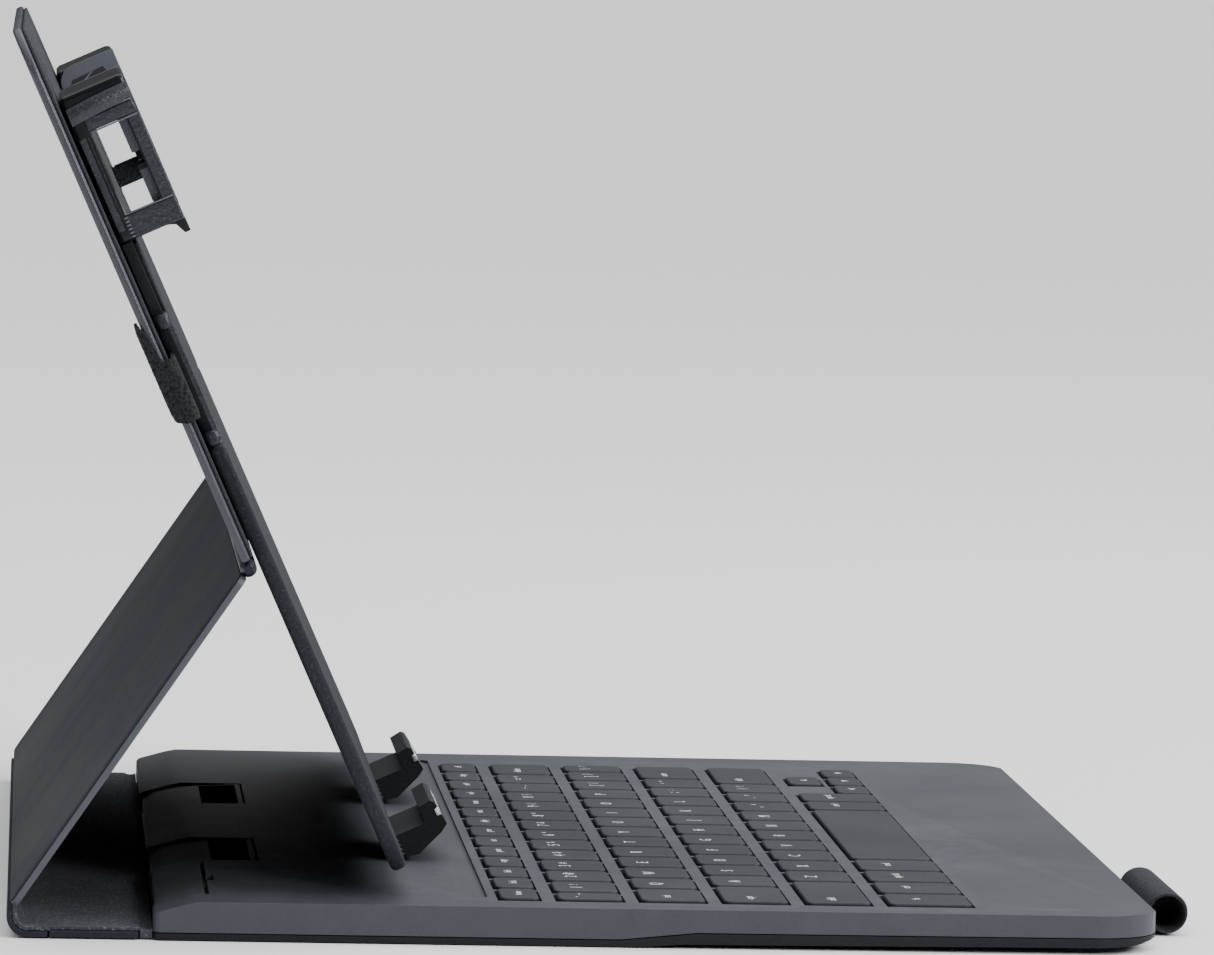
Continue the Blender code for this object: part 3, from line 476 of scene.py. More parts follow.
def finishPiece(name, bm, body, materials, nodes=(), smoothAngle=38.0, ride=True):
    bmesh.ops.recalc_face_normals(bm, faces=bm.faces)
    mesh = bpy.data.meshes.new(name)
    bm.to_mesh(mesh)
    bm.free()
    obj = bpy.data.objects.new(name, mesh)
    bpy.context.scene.collection.objects.link(obj)
    for material in materials:
        mesh.materials.append(mats[material])
    mesh.shade_smooth()
    mesh.set_sharp_from_angle(angle=math.radians(smoothAngle))
    flat = obj.modifiers.new("evenShading", "WEIGHTED_NORMAL")
    flat.keep_sharp = True
    if ride:
        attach(obj, body)
    if nodes:
        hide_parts(*nodes)
    return obj


def roundedOutline(lowA, highA, lowB, highB, radii, steps=6):
    corners = (
        (lowA, lowB, 1, 1, 180), (highA, lowB, -1, 1, 270),
        (highA, highB, -1, -1, 0), (lowA, highB, 1, -1, 90),
    )
    points = []
    for (a, b, sideA, sideB, start), radius in zip(corners, radii):
        if radius <= 0:
            points.append((a, b))
            continue
        for i in range(steps + 1):
            angle = math.radians(start + 90 * i / steps)
            pointA = a + sideA * radius + radius * math.cos(angle)
            pointB = b + sideB * radius + radius * math.sin(angle)
            points.append((pointA, pointB))
    return points


def joinRings(bm, rings):
    # faces between rings of equal count, one ring after the other
    for first, second in zip(rings, rings[1:]):
        for j in range(len(first)):
            k = (j + 1) % len(first)
            bm.faces.new((first[j], first[k], second[k], second[j]))


cleanUp = {"weld": 0.000002, "flatAngle": 1.0, "edgeAngle": 30.0, "steepAngle": 50.0}


def softened(node, name, width, material, body, segments=2, outer=None, outerWidth=0.5):
    # the CAD part's own mesh with its edges broken, so that they catch the light
    bm = bmesh.new()
    bm.from_mesh(frame["nodes"][node].data)
    bmesh.ops.remove_doubles(bm, verts=bm.verts, dist=cleanUp["weld"])
    flatAngle = math.radians(cleanUp["flatAngle"])
    bmesh.ops.dissolve_limit(bm, angle_limit=flatAngle, verts=bm.verts, edges=bm.edges)
    if outer is not None:
        roundEdges(bm, outerWidth, 3, cleanUp["edgeAngle"], outer)
    roundEdges(bm, width, segments, cleanUp["edgeAngle" if outer is None else "steepAngle"])
    return finishPiece(name, bm, body, [material], (node,))


# keyboard deck
deckLook = {"edge": 0.12, "outerEdge": 0.6, "doorEdge": 0.15, "underEdge": 0.35, "socketEdge": 0.25,
            "footEdge": 0.25, "sideAt": 0.1285, "frontAt": -0.1985, "backAt": -0.012,
            "edgeFrom": 0.0048}
mouthLook = {"half": 0.01685, "front": -0.0210, "back": -0.0128, "wallTop": 0.0069, "floorTop": 0.0035,
             "upright": 0.9}


def onDeckEdge(edge):
    # the deck's outer top edge, all the way round
    middle = (edge.verts[0].co + edge.verts[1].co) / 2
    beyond = middle.y < deckBack + deckLook["frontAt"] or middle.y > deckBack + deckLook["backAt"]
    return (abs(middle.x) > deckLook["sideAt"] or beyond) and middle.z > deckLook["edgeFrom"]


softened("deck_top_case", "deckShell", deckLook["edge"], "deckPlastic", "deck",
         2, onDeckEdge, deckLook["outerEdge"])
softened("battery_door", "batteryDoor", deckLook["doorEdge"], "deckPlastic", "battery_door")
softened("deck_bottom_plate", "deckUnderside", deckLook["underEdge"], "underPlastic",
         "deck")
for side in ("left", "right"):
    node = "hook_socket_" + side
    socket = softened(node, "hookSocket_" + side, deckLook["socketEdge"], "deckPlastic",
                      "deck")
    socket.data.materials.append(mats["paintedShadeBlack"])
    low, high = (Vector(c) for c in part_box(node))
    middleX = (low.x + high.x) / 2
    for face in socket.data.polygons:
        # painted shade: the walls and the floor of the socket's mouth get a near-black material standing in for
        # the shade inside it
        centre = face.center
        inMouth = mouthLook["front"] < centre.y - deckBack < mouthLook["back"]
        inside = inMouth and abs(centre.x - middleX) < mouthLook["half"]
        wall = face.normal.z < mouthLook["upright"] and centre.z < mouthLook["wallTop"]
        if inside and (wall or centre.z < mouthLook["floorTop"]):
            face.material_index = 1
    softened("front_foot_" + side, "frontFoot_" + side, deckLook["footEdge"], "softRubber",
             "deck", 3)
print("deck built")

# keys and their legends
keyShape = {"corner": 1.5, "leastCorner": 0.3, "rise": 0.5, "steps": 4, "width": 13.9, "gap": 2.6,
            "slack": 1.0, "functionKeys": 14}
legendLook = {"ink": 0.02, "lift": 0.004, "functionSize": 2.3, "mainSize": 3.6,
              "mainShift": (-1.9, 1.6), "smallSize": 2.6, "smallShift": (2.2, 2.0), "wordSize": 2.5,
              "wideFrom": 15.5, "wordInset": 5.2, "wideLift": 1.0, "narrowLift": 2.2, "arrowSize": 1.5,
              "arrow": ((0.0, 0.6, 0.0), (-0.62, -0.45, 0.0), (0.62, -0.45, 0.0))}


def keyCells(node, first, count):
    # (low x, high x) of each cap in a node: a first width, equal caps, and what is left
    low, high = (Vector(c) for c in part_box(node))
    left, right = low.x / mm, high.x / mm
    cells = []
    here = left
    if first:
        cells.append((here, here + first))
        here += first + keyShape["gap"]
    for i in range(count):
        cells.append((here, here + keyShape["width"]))
        here += keyShape["width"] + keyShape["gap"]
    if here < right - keyShape["slack"]:
        cells.append((here, right))
    return cells


def addCap(bm, left, right, front, back, low, high):
    rise = keyShape["rise"]
    steps = keyShape["steps"]
    rings = [(0.0, low), (0.0, high - rise)]
    for i in range(1, steps + 1):
        turn = math.radians(90 * i / steps)
        rings.append((rise * (1 - math.cos(turn)), high - rise + rise * math.sin(turn)))
    made = []
    for inset, z in rings:
        radius = max(keyShape["leastCorner"], keyShape["corner"] - inset)
        outline = roundedOutline(left + inset, right - inset, front + inset, back - inset,
                                 (radius,) * 4, steps)
        made.append([bm.verts.new((x * mm, y * mm, z * mm)) for x, y in outline])
    bm.faces.new(list(reversed(made[0])))
    bm.faces.new(made[-1])
    for lower, upper in zip(made, made[1:]):
        for i in range(len(lower)):
            j = (i + 1) % len(lower)
            bm.faces.new((lower[i], lower[j], upper[j], upper[i]))


def addText(bm, words, x, y, z, size):
    letters = bpy.data.curves.new("legendText", "FONT")
    letters.body = words
    letters.size = size * mm
    letters.align_x = "CENTER"
    letters.align_y = "CENTER"
    letters.extrude = legendLook["ink"] / 2 * mm
    letters.resolution_u = 2
    holder = bpy.data.objects.new("legendHolder", letters)
    bpy.context.scene.collection.objects.link(holder)
    bpy.context.view_layer.update()
    mesh = bpy.data.meshes.new_from_object(holder.evaluated_get(bpy.context.evaluated_depsgraph_get()))
    bpy.data.objects.remove(holder, do_unlink=True)
    mesh.transform(Matrix.Translation((x * mm, y * mm, (z + legendLook["ink"]) * mm)))
    bm.from_mesh(mesh)
    bpy.data.meshes.remove(mesh)


def addArrow(bm, x, y, z, turn):
    spin = Matrix.Rotation(math.radians(turn), 3, "Z")
    corners = [spin @ Vector(p) * legendLook["arrowSize"] for p in legendLook["arrow"]]
    pushOutline(bm, [(c.x, c.y) for c in corners], 0.0, legendLook["ink"],
                lambda a, b, c: Vector(((x + a) * mm, (y + b) * mm, (z + c + legendLook["lift"]) * mm)))


# node: first width, equal caps, legends as (main mark, small mark)
keyRows = {
    "function_keys": (0, 0, "home|lock|find|copy|paste|cut|prev|play|next|mute|vol-|vol+|lang|off"),
    "number_keys": (9.1, 12, "` ~|1 !|2 @|3 #|4 $|5 %|6 ^|7 &|8 *|9 (|0 )|- _|= +"),
    "upper_letter_keys": (0, 12, "Q|W|E|R|T|Y|U|I|O|P|[ {|] }|\\ /"),
    "home_letter_keys": (0, 11, "A|S|D|F|G|H|J|K|L|; :|' \""),
    "lower_letter_keys": (0, 10, "Z|X|C|V|B|N|M|, <|. >|/ ?"),
}
keyWords = {
    "backspace_key": "delete", "tab_key": "tab", "caps_lock_key": "caps", "enter_key": "enter",
    "left_shift_key": "shift", "right_shift_key": "shift", "fn_key": "fn", "control_key": "ctrl",
    "left_option_key": "opt alt", "left_command_key": "cmd", "space_bar": "",
    "right_command_key": "cmd", "right_option_key": "opt alt",
}
arrowTurns = {"arrow_left_key": 90, "arrow_down_key": 180, "arrow_up_key": 0, "arrow_right_key": -90}


def cellsOf(node, low, high):
    if node == "function_keys":
        count = keyShape["functionKeys"]
        pitch = (high.x - low.x + keyShape["gap"]) / count
        return [(low.x + i * pitch, low.x + (i + 1) * pitch - keyShape["gap"]) for i in range(count)]
    if node in keyRows:
        return keyCells(node, *keyRows[node][:2])
    return [(low.x, high.x)]


def addRowLegends(ink, node, cells, y, top):
    for (left, right), mark in zip(cells, keyRows[node][2].split("|")):
        x = (left + right) / 2
        if node == "function_keys":
            addText(ink, mark, x, y, top, legendLook["functionSize"])
            continue
        main, _, small = mark.partition(" ")
        shiftX, shiftY = legendLook["mainShift"]
        addText(ink, main, x + shiftX, y + shiftY, top, legendLook["mainSize"])
        if small:
            shiftX, shiftY = legendLook["smallShift"]
            addText(ink, small, x + shiftX, y + shiftY, top, legendLook["smallSize"])


def buildKeys():
    for node in list(keyRows) + list(keyWords) + list(arrowTurns):
        low, high = (Vector(c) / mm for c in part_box(node))
        cells = cellsOf(node, low, high)
        caps = bmesh.new()
        for left, right in cells:
            addCap(caps, left, right, low.y, high.y, low.z, high.z)
        finishPiece("cap_" + node, caps, node, ["keyPlastic"], (node,))
        ink = bmesh.new()
        middleX = (low.x + high.x) / 2
        middleY = (low.y + high.y) / 2
        if node in keyRows:
            addRowLegends(ink, node, cells, middleY, high.z)
        elif node in arrowTurns:
            addArrow(ink, middleX, middleY, high.z, arrowTurns[node])
        elif keyWords[node]:
            wide = high.x - low.x > legendLook["wideFrom"]
            x = low.x + legendLook["wordInset"] if wide else middleX
            lift = legendLook["wideLift" if wide else "narrowLift"]
            addText(ink, keyWords[node], x, middleY + lift, high.z, legendLook["wordSize"])
        if ink.faces:
            finishPiece("legend_" + node, ink, node, ["legendInk"])
        else:
            ink.free()


buildKeys()
print("keys built")


# spine, kick panel and their folds
def kickPanel():
    # stiff core with a thin skin laid over its back, a dark line between them
    look = {"half": 130.0, "top": 1.7, "bottom": (kickFoot - kickTop).length / mm, "corner": 2.0,
            "core": (-0.8, 0.6), "coreEdge": 0.22, "skin": (0.65, 0.84), "skinEdge": 0.12,
            "flatFrom": 0.85}
    border = {"inset": 2.6, "half": 0.18, "from": 4.0, "to": 78.0, "sunk": 0.02, "proud": 0.06,
              "edge": 0.06}
    outline = roundedOutline(-look["half"], look["half"], look["top"], look["bottom"],
                             (look["corner"],) * 4)
    bm = bmesh.new()
    pushOutline(bm, outline, *look["core"], kickPoint)
    roundEdges(bm, look["coreEdge"], 3, 60.0)
    core = finishPiece("kickCore", bm, "kick", ["panelEdge", "panelSkin"], ("kick_board",))
    for face in core.data.polygons:
        if abs(face.normal.dot(kickOut)) > look["flatFrom"]:
            face.material_index = 1
    bm = bmesh.new()
    pushOutline(bm, outline, *look["skin"], kickPoint)
    roundEdges(bm, look["skinEdge"], 2, 60.0)
    finishPiece("kickSkin", bm, "kick", ["panelSkin"])
    # a pressed border just inside the edge of the back
    bm = bmesh.new()
    top = look["skin"][1]
    for x in (-look["half"] + border["inset"], look["half"] - border["inset"]):
        low, high = x - border["half"], x + border["half"]
        line = [(low, border["from"]), (high, border["from"]), (high, border["to"]), (low, border["to"])]
        pushOutline(bm, line, top - border["sunk"], top + border["proud"], kickPoint)
    roundEdges(bm, border["edge"], 1)
    finishPiece("kickBorder", bm, "kick", ["panelSkin"])


def upperFold():
    # skin rolled round the fold: a slightly uneven round, with puckers along its length
    look = {"radius": 1.8, "half": 129.8, "pucker": 0.015, "inset": 0.12, "drawn": 0.5, "drawnFrom": 1.0,
            "around": 28, "along": 90, "waves": (0.9, 2.0, 3.0, 5, 0.05)}
    slow, swing, turns, ribs, drift = look["waves"]
    centre = Vector((0.0, kickTop.y, kickTop.z))
    half = look["half"]
    bm = bmesh.new()
    rings = []
    for i in range(look["along"] + 1):
        x = -half + 2 * half * i / look["along"]
        swell = 1.0 - look["drawn"] * max(0.0, abs(x) - half + look["drawnFrom"]) ** 2  # ends drawn in
        ring = []
        for j in range(look["around"]):
            angle = 2 * math.pi * j / look["around"]
            ripple = math.sin(x * slow + swing * math.sin(turns * angle))
            wave = look["pucker"] * ripple * math.sin(ribs * angle + x * drift)
            r = (look["radius"] - look["inset"] + wave) * swell
            ring.append(bm.verts.new(centre + Vector((x, r * math.cos(angle), r * math.sin(angle))) * mm))
        rings.append(ring)
    joinRings(bm, rings)
    bm.faces.new(rings[0])
    bm.faces.new(list(reversed(rings[-1])))
    finishPiece("upperFold", bm, "tray", ["panelSkin"], ("upper_fold",), 50.0)


def rearBend():
    # cloth and felt that carry the spine round to the kick panel's foot
    look = {"y": 24.6, "z": 4.2, "half": 129.6, "start": 12.0, "end": -90.0, "steps": 20, "edge": 0.16,
            "cloth": (4.08, 3.02), "clothEnd": 20.6, "felt": 2.98, "feltEnd": 19.9, "feltInset": 1.0}
    span = look["end"] - look["start"]
    turns = [math.radians(look["start"] + span * i / look["steps"]) for i in range(look["steps"] + 1)]

    def bow(radius, turn):
        return look["y"] + radius * math.cos(turn), look["z"] + radius * math.sin(turn)

    def bentStrip(name, outer, inner, flat, half, material, slotName, nodes=()):
        section = [bow(outer, turn) for turn in turns]
        section += [(flat, look["z"] - outer), (flat, look["z"] - inner)]
        section += [bow(inner, turn) for turn in reversed(turns)]
        bm = bmesh.new()
        pushOutline(bm, section, -half, half, lambda a, b, c: deckPoint(c, a, b))
        roundEdges(bm, look["edge"], 2, 60.0)
        finishPiece(name, bm, "spine", [material], nodes, 50.0)

    bentStrip("rearBend", *look["cloth"], look["clothEnd"], look["half"], "panelSkin", "webbing",
              ("rear_fold",))
    bentStrip("rearBendFelt", look["felt"], look["z"] - spineTop, look["feltEnd"],
              look["half"] - look["feltInset"], "spineFelt", "felt")


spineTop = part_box("spine_lining")[1][2] / mm
kickPanel()
rearBend()
upperFold()
softened("spine_board", "spinePanel", 0.3, "panelSkin", "spine")


def paddedSkin(name, outline, low, high, place, body, material, node, edge):
    # a skin with softly rounded edges
    bm = bmesh.new()
    pushOutline(bm, outline, low, high, place)
    roundEdges(bm, edge, 3, 60.0)
    return finishPiece(name, bm, body, [material], (node,))


def spinePoint(x, y, z):
    return Vector((x * mm, spineLine.y + y * mm, z * mm))


liningLook = {"half": 128.6, "front": 0.85, "back": 18.4, "corner": 0.2, "under": 1.55, "edge": 0.06}
liningOutline = roundedOutline(-liningLook["half"], liningLook["half"], liningLook["front"],
                               liningLook["back"], (liningLook["corner"],) * 4, 8)
paddedSkin("spineLining", liningOutline, liningLook["under"], spineTop, spinePoint, "spine",
           "spineFelt", "spine_lining", liningLook["edge"])


def frontFold():
    # cloth hinge between the deck and the spine, bent across the joint
    look = {"half": 128.8, "steps": 10, "below": 0.15, "sag": 0.25}
    low, high = (Vector(c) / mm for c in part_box("front_fold"))
    bm = bmesh.new()
    run = [low.y + (high.y - low.y) * i / look["steps"] for i in range(look["steps"] + 1)]
    outline = []
    for i, y in enumerate(run):
        outline.append((y, spineTop - look["below"] - look["sag"] * math.sin(math.pi * i / look["steps"])))
    outline += [(y, low.z) for y in reversed(run)]
    pushOutline(bm, outline, -look["half"], look["half"], lambda a, b, c: Vector((c * mm, a * mm, b * mm)))
    fold = finishPiece("frontFold", bm, "deck", ["spineFelt"], ("front_fold",), 60.0, False)
    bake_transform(fold)


frontFold()
print("spine and kick panel built")

# leaning tray: cover, lining and board
coverLook = {"half": 130.0, "low": -12.6, "top": 100.5, "corners": (0.6, 0.6, 10.0, 10.0), "back": -2.5,
             "front": -0.72, "edge": 0.7, "rimFrom": 0.9, "rimUpTo": -0.9}
coverLiningLook = {"half": 129.4, "inset": 0.4, "topInset": 0.7, "corners": (0.6, 0.6, 9.4, 9.4),
                   "back": -0.68, "front": 0.02, "edge": 0.28}


def coverSkins():
    outline = roundedOutline(-coverLook["half"], coverLook["half"], coverLook["low"], coverLook["top"],
                             coverLook["corners"], 8)
    board = paddedSkin("coverBoard", outline, coverLook["back"], coverLook["front"], trayPoint, "tray",
                       "panelSkin", "cover_board", coverLook["edge"])
    board.data.materials.append(mats["coverRim"])
    rimLimit = trayPoint(0, 0, coverLook["rimUpTo"]).dot(trayOut)
    for face in board.data.polygons:
        if abs(face.normal.dot(trayOut)) < coverLook["rimFrom"] and face.center.dot(trayOut) < rimLimit:
            face.material_index = 1
    look = coverLiningLook
    outline = roundedOutline(-look["half"], look["half"], coverLook["low"] + look["inset"],
                             coverLook["top"] - look["topInset"], look["corners"], 8)
    paddedSkin("coverLining", outline, look["back"], look["front"], trayPoint, "tray", "coverFelt",
               "cover_lining", look["edge"])


coverSkins()


trayLook = {"half": 121.0, "low": -82.6, "seam": 9.6, "corners": (9.0, 9.0, 1.0, 1.0), "back": 0.28,
            "front": 3.4, "edge": 1.3}
carrierLook = {"half": 116.0, "neck": 74.7, "seat": 53.3, "top": 79.0, "gap": 0.3, "front": 2.7,
               "edge": 0.3, "feltBack": 2.72, "feltShare": 0.994, "feltInset": 0.8, "feltEdge": 0.28,
               "lowHalf": 20}


def trayBoard():
    # felt-covered lower board
    outline = roundedOutline(-trayLook["half"], trayLook["half"], trayLook["low"], trayLook["seam"],
                             trayLook["corners"], 8)
    paddedSkin("trayFelt", outline, trayLook["back"], trayLook["front"], trayPoint, "tray", "trayFelt",
               "tray_board", trayLook["edge"])
    # carrier for the sprung clips, narrower at its sides and stepped in between the clips
    look = carrierLook
    side, neck, seat, top = (look[k] for k in ("half", "neck", "seat", "top"))
    foot = trayLook["seam"] + look["gap"]
    outline = [(-side, foot), (side, foot), (side, seat), (neck, seat),
               (neck, top), (-neck, top), (-neck, seat), (-side, seat)]
    bm = bmesh.new()
    pushOutline(bm, outline, trayLook["back"], look["front"], trayPoint)
    roundEdges(bm, look["edge"], 2)
    finishPiece("clipCarrier", bm, "tray", ["underPlastic"])
    bm = bmesh.new()
    inset = look["feltInset"]
    inner = [(a * look["feltShare"], b + (inset if b < look["lowHalf"] else -inset)) for a, b in outline]
    pushOutline(bm, inner, look["feltBack"], trayLook["front"], trayPoint)
    roundEdges(bm, look["feltEdge"], 2)
    finishPiece("carrierFelt", bm, "tray", ["trayFelt"])


trayBoard()


def sideTag(side):
    return "left" if side < 0 else "right"


def ends(side, inner, outer):
    # low and high x of a piece on one side of the tray
    return min(side * inner, side * outer), max(side * inner, side * outer)


def sidewise(s, d, x):
    # a section drawn in the tray's side view, pushed along x
    return trayPoint(x, s, d)


def flatBox(lowS, highS, lowD, highD):
    return [(lowS, lowD), (highS, lowD), (highS, highD), (lowS, highD)]


def strapLugs(side):
    # two lugs and the thin bar that the elastic loops round
    look = {"lugs": ((9.9, 13.3), (34.7, 38.2)), "lugDepth": (0.4, 3.4), "lugRound": 1.1,
            "lugX": (110.0, 121.2), "lugEdge": 0.9, "bar": (12.5, 35.5, 2.45, 3.4), "barRound": 0.4,
            "barX": (118.9, 120.9)}
    bm = bmesh.new()
    for low, high in look["lugs"]:
        lug = roundedOutline(low, high, *look["lugDepth"], (look["lugRound"],) * 4, 4)
        pushOutline(bm, lug, *ends(side, *look["lugX"]), sidewise)
    roundEdges(bm, look["lugEdge"], 4, 50.0)
    bar = roundedOutline(*look["bar"], (look["barRound"],) * 4, 3)
    pushOutline(bm, bar, *ends(side, *look["barX"]), sidewise)
    finishPiece("strapLugs_" + sideTag(side), bm, "tray", ["clipTextured"])


strapLook = {"inner": 112.9, "tuck": 114.2, "outer": 131.35, "front": 1.0, "back": -3.3, "low": 17.0,
             "high": 30.0, "rise": 8.0, "half": 0.45, "hem": 0.72, "turn": 1.3, "round": 2.4,
             "flatSteps": 12, "turnSteps": 6, "riseFrom": 22, "behindFrom": 24, "overSteps": 12.0,
             "along": 34, "pebble": 0.09, "pebbleTurns": (2.1, 1.6, 1.9)}


def strapPath():
    # the band's run seen from below, as (x, d): along the front, round the edge, along the back
    look = strapLook
    flat, bend = look["flatSteps"], look["turnSteps"]
    outer, turn = look["outer"], look["turn"]
    fall = look["back"] + 2 * turn - look["front"]
    path = []
    for i in range(flat + 1):
        path.append((look["inner"] + (outer - turn - look["inner"]) * i / flat, look["front"]))
    for i in range(1, bend):
        angle = math.radians(90 - 90 * i / bend)
        path.append((outer - turn * (1 - math.cos(angle)), look["front"] - turn * (1 - math.sin(angle))))
    for i in range(flat + 1):
        path.append((outer, look["front"] - turn + fall * i / flat))
    for i in range(1, bend):
        angle = math.radians(-90 * i / bend)
        path.append((outer - turn * (1 - math.cos(angle)), look["back"] + turn * (1 + math.sin(angle))))
    for i in range(flat + 1):
        path.append((outer - turn - (outer - turn - look["tuck"]) * i / flat, look["back"]))
    return path


def elasticStrap(side):
    # knit band that wraps from the tray's bar round the cover's edge, higher behind than in front
    look = strapLook
    path = strapPath()
    bm = bmesh.new()
    along = look["along"]
    total = len(path) - 1
    turnI, turnOdd, turnK = look["pebbleTurns"]
    sheets = []
    for offset in (look["half"], -look["half"]):
        grid = []
        for i, (x, d) in enumerate(path):
            before = path[max(0, i - 1)]
            after = path[min(total, i + 1)]
            run = Vector((after[0] - before[0], after[1] - before[1])).normalized()
            normal = Vector((-run.y, run.x)) * (1 if offset > 0 else -1)
            share = min(1.0, max(0.0, (i - look["riseFrom"]) / look["overSteps"]))
            top = look["high"] + look["rise"] * share * share * (3 - 2 * share)
            # away is 0 in front and 1 once behind
            away = min(1.0, max(0.0, (i - look["behindFrom"]) / look["overSteps"]))
            foot = look["low"] + look["round"] * (1.0 - math.sqrt(1.0 - away * away))
            row = []
            for k in range(along + 1):
                s = foot + (top - foot) * k / along
                pebble = 0.0
                if 0 < k < along:
                    pebble = look["pebble"] * math.sin(i * turnI + (k % 2) * turnOdd) * math.sin(k * turnK)
                thin = abs(offset) * (1.0 if 1 < k < along - 1 else look["hem"])
                x2 = x + normal.x * (thin + pebble)
                d2 = d + normal.y * (thin + pebble)
                row.append(bm.verts.new(trayPoint(side * x2, s, d2)))
            grid.append(row)
        for first, second in zip(grid, grid[1:]):
            for k in range(along):
                bm.faces.new((first[k], first[k + 1], second[k + 1], second[k]))
        sheets.append(grid)
    outerGrid, innerGrid = sheets
    for i in range(total):
        for k in (0, along):
            bm.faces.new((outerGrid[i][k], outerGrid[i + 1][k], innerGrid[i + 1][k], innerGrid[i][k]))
    for i in (0, total):
        for k in range(along):
            bm.faces.new((outerGrid[i][k], innerGrid[i][k], innerGrid[i][k + 1], outerGrid[i][k + 1]))
    tag = sideTag(side)
    finishPiece("elasticStrap_" + tag, bm, "tray", ["strapKnit"],
                ("elastic_strap_" + tag,), 60.0)


for side in (-1, 1):
    strapLugs(side)
    elasticStrap(side)
print("tray built")


# sprung top clips: sections are (s, d) in the tray's side view, and x is (inner, outer)
clipLook = {
    "shellEdge": 0.5,
    "bands": (
        ([(53.9, 3.6), (58.5, 3.3), (58.5, 13.9), (53.6, 13.95), (53.6, 11.0), (53.9, 9.0)],
         (121.6, 124.25)),
        ([(76.5, 3.2), (79.1, 3.2), (79.1, 13.6), (76.5, 13.9)], (121.6, 124.2)),
        (flatBox(58.3, 76.7, 11.4, 14.05), (121.7, 124.1)),
    ),
    "bandEdge": 0.35,
    "highlightLines": (58.75, 76.15, 79.35), "highlightHalf": 0.13, "highlightDepth": (3.8, 13.6), "highlightX": (121.9, 124.3),
    "leg": (
        (flatBox(56.0, 75.6, 1.0, 2.3), (123.2, 124.2)),
        # a thin line standing in for a highlight along the leg: painted highlight
        (flatBox(60.0, 75.6, 2.75, 2.9), (123.2, 124.25)),
    ),
    "lip": ((58.8, 65.6), (69.2, 76.2)), "lipDepth": (9.5, 11.3), "lipX": (96.0, 120.8), "lipEdge": 0.25,
    "ribs": 6, "ribFrom": 54.1, "ribPitch": 0.76, "ribWidth": 0.42, "ribDepth": (2.9, 3.75),
    "ribX": (121.3, 124.35), "ribEdge": 0.1,
    "slot": [(80.4, 2.4), (81.7, 3.2), (82.0, 10.6), (80.4, 11.2)], "slotX": (74.55, 74.9),
    "brace": [(80.5, 5.0), (81.8, 7.4), (81.8, 8.2), (80.5, 5.9)], "braceX": (74.4, 74.9),
    "fineEdge": 0.06,
}
bendLook = {"low": 79.3, "high": 82.75, "front": 13.9, "rear": 0.9, "face": 125.9, "turn": 1.7,
            "bow": 0.4, "fall": 0.7, "inner": 120.6, "along": 24, "across": 8}
endLook = {"wall": [(54.0, 0.5), (54.0, 3.3), (79.9, 3.3), (79.9, 11.3), (54.6, 11.3), (54.6, 14.1),
                    (84.78, 14.1)],
           "centre": (80.8, 4.2), "radii": (3.98, 3.8), "steps": 6, "x": (74.7, 75.4), "edge": 0.15}


def clipPiece(name, sections, side, material, edge=None, segments=1, angle=30.0):
    # sections pushed sideways, joined in one piece that moves with the clip
    bm = bmesh.new()
    for section, (inner, outer) in sections:
        pushOutline(bm, section, *ends(side, inner, outer), sidewise)
    if edge:
        roundEdges(bm, edge, segments, angle)
    tag = sideTag(side)
    finishPiece(name + "_" + tag, bm, "clip_" + tag, [material])


def clipBend(side):
    # bent band under the top, its face bowed and turned away at the rear
    look = bendLook
    bm = bmesh.new()
    rows = []
    for i in range(look["along"] + 1):
        share = i / look["along"]
        d = look["front"] + (look["rear"] - look["front"]) * share
        row = []
        for k in range(look["across"] + 1):
            lift = 2 * k / look["across"] - 1
            reach = (look["high"] - look["low"]) / 2 * lift
            s = (look["low"] + look["high"]) / 2 + reach - look["fall"] * share * share
            x = look["face"] - look["turn"] * (1 - share) ** 2 - look["bow"] * lift ** 2
            row.append(bm.verts.new(trayPoint(side * x, s, d)))
        row.append(bm.verts.new(trayPoint(side * look["inner"], s, d)))
        row.append(bm.verts.new(trayPoint(side * look["inner"], look["low"], d)))
        rows.append(row)
    joinRings(bm, rows)
    bm.faces.new(rows[0])
    bm.faces.new(list(reversed(rows[-1])))
    tag = sideTag(side)
    finishPiece("clipBend_" + tag, bm, "clip_" + tag, ["clipTextured"], (), 50.0)


